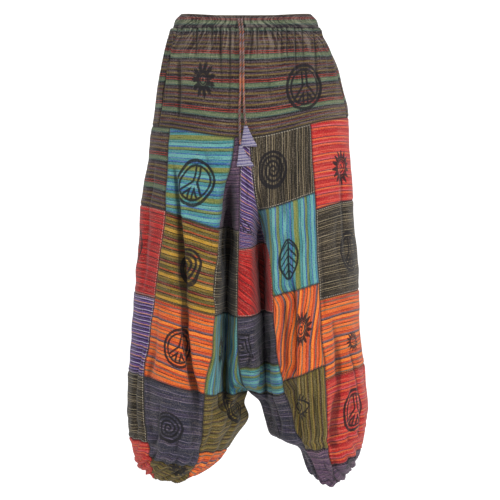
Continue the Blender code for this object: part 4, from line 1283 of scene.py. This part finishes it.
def build_tassel(name, end, lean):
    """A cloth triangle folded double and sewn to the cord's end, creased down its middle."""
    sides, rows = 40, 30
    points, maps = [], []
    for down in np.linspace(0, 1, rows):
        width, depth = (column_of(TASSEL_ROWS, name, down, "down") for name in ("width", "depth"))
        for s in range(sides):
            angle = 2 * math.pi * s / sides
            x = math.cos(angle) * TASSEL_WIDTH / 2 * width
            flute = 1 + 0.16 * math.sin(x * 520 + down * 3) * down
            y = -math.sin(angle) * TASSEL_DEPTH / 2 * depth * flute
            z = end[2] - CORD_DIAMETER / 2 - GAP - down * TASSEL_HEIGHT
            points.append((end[0] + x + lean * down, end[1] + y, z))
            maps.append((x, down * TASSEL_HEIGHT))
    faces = grid_faces(rows, sides, closed=True, turned=True)
    faces += [list(range(sides))[::-1], [(rows - 1) * sides + s for s in range(sides)]]
    corners = [v for face in faces for v in face]
    flat_map = np.array(maps)[corners]
    made = new_piece(f"cloth_tassel_{name}", points, faces, [("cloth", flat_map), ("fold", flat_map * 0)])
    material = cloth_material(f"tassel_{name}", "lilac", 4, 0.003, sewn=False)
    finish_piece(made, f"tassel_{name}", material, (TASSEL_WIDTH, TASSEL_WIDTH))
    return made


def build_cord(name, grids, lean, material):
    route = [(p.x, front_y(grids, p.x, p.drop) - p.off, BAND_HEIGHT / 2 - p.drop) for p in CORD_ROUTES[name]]
    path = smooth_route(route, 0.0012)
    made, length = twisted_tube(f"cord_{name}", path)
    made.data.materials.append(material)
    tassel = build_tassel(name, path[-1], lean)
    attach(made, "root")
    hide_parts(f"drawstring_{name}")


# --- the studio --------------------------------------------------------------------------------------
FRAME_WIDTH = 1.0425  # what the view shows across, at the garment
CAMERA_AWAY = 5.0
CAMERA_HEIGHT = -0.13
VIEW_CENTRE = Vector((0.0052, 0.0, -0.476))
FLOOR = -1.06
DISH_REACH, DISH_BEND, DISH_TOP, DISH_SIDES = 6.2, 1.4, 1.6, 72  # the floor's radius, its sweep and wall
PAPER = (0.93, 0.93, 0.93, 1)
WHITE = (1, 1, 1, 1)
AIM = Vector((0, 0, -0.45))
Light = namedtuple("Light", "name place size power")
LIGHTS = (
    Light("key", (1.7, -3.4, 1.5), 1.8, 96),
    Light("fill", (-2.8, -2.8, 0.0), 2.6, 14),
    Light("top", (0.0, -0.4, 3.0), 2.4, 44),
)


def build_camera():
    data = bpy.data.cameras.new("camera")
    camera = bpy.data.objects.new("camera", data)
    bpy.context.scene.collection.objects.link(camera)
    camera.location = (VIEW_CENTRE.x, -CAMERA_AWAY, CAMERA_HEIGHT)
    gaze = VIEW_CENTRE - camera.location
    camera.rotation_euler = gaze.to_track_quat("-Z", "Y").to_euler()
    data.sensor_width = 36
    data.lens = 36 * gaze.length / FRAME_WIDTH
    data.clip_end = 30
    bpy.context.scene.camera = camera


def build_backdrop():
    """A pale round floor that sweeps up into a low pale wall."""
    profile = [(DISH_REACH * step, FLOOR) for step in (0.25, 0.5, 0.75, 1.0)]
    profile += [
        (DISH_REACH + DISH_BEND * math.sin(a), FLOOR + DISH_BEND * (1 - math.cos(a)))
        for a in np.linspace(0.15, math.pi / 2, 10)
    ]
    profile.append((DISH_REACH + DISH_BEND, DISH_TOP))
    around = np.linspace(0, 2 * math.pi, DISH_SIDES, endpoint=False)
    points = [(r * math.cos(a), r * math.sin(a), z) for r, z in profile for a in around]
    faces = [list(range(DISH_SIDES))] + grid_faces(len(profile), DISH_SIDES, closed=True)
    backdrop = new_piece("backdrop", points, faces)
    paper, _, shader = new_material("paper")
    for name, value in (
        ("Base Color", PAPER), ("Roughness", 0.9), ("Emission Color", WHITE), ("Emission Strength", 0.35),
    ):
        shader.inputs[name].default_value = value
    backdrop.data.materials.append(paper)


def build_lights():
    """Soft boxes and an even white surround."""
    for light in LIGHTS:
        data = bpy.data.lights.new(light.name, "AREA")
        data.size = light.size
        data.energy = light.power
        lamp = bpy.data.objects.new(light.name, data)
        lamp.location = light.place
        lamp.rotation_euler = (AIM - lamp.location).to_track_quat("-Z", "Y").to_euler()
        bpy.context.scene.collection.objects.link(lamp)
    world = bpy.data.worlds.new("surround")
    world.use_nodes = True
    background = world.node_tree.nodes["Background"]
    background.inputs["Color"].default_value = WHITE
    background.inputs["Strength"].default_value = 0.55
    bpy.context.scene.world = world
    bpy.context.scene.view_settings.view_transform = "Standard"


# --- the scene ---------------------------------------------------------------------------------------
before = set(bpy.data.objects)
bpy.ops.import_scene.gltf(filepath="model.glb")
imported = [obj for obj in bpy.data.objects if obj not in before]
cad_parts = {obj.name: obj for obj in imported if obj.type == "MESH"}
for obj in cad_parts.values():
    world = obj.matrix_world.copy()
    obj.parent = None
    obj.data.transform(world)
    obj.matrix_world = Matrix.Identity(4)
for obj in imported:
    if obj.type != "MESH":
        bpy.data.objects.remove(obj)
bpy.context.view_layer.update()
build_camera()
build_backdrop()
build_lights()
forms, form_normals = leg_surfaces()
cord_look = cord_material()
for cord_name, tassel_lean in (("short", 0.006), ("long", 0.010)):
    build_cord(cord_name, forms, tassel_lean, cord_look)
cloths = [shaped(leg, grid, out) for leg, grid, out in zip(LEGS, forms, form_normals)]
for each_leg, each_form, each_cloth, each_out in zip(LEGS, forms, cloths, form_normals):
    build_patches(each_leg, each_cloth, each_out)
    build_facing(each_leg, each_form, each_out)
    build_cuff(each_leg, each_form)
build_yoke(forms, form_normals)
build_waistband(forms)
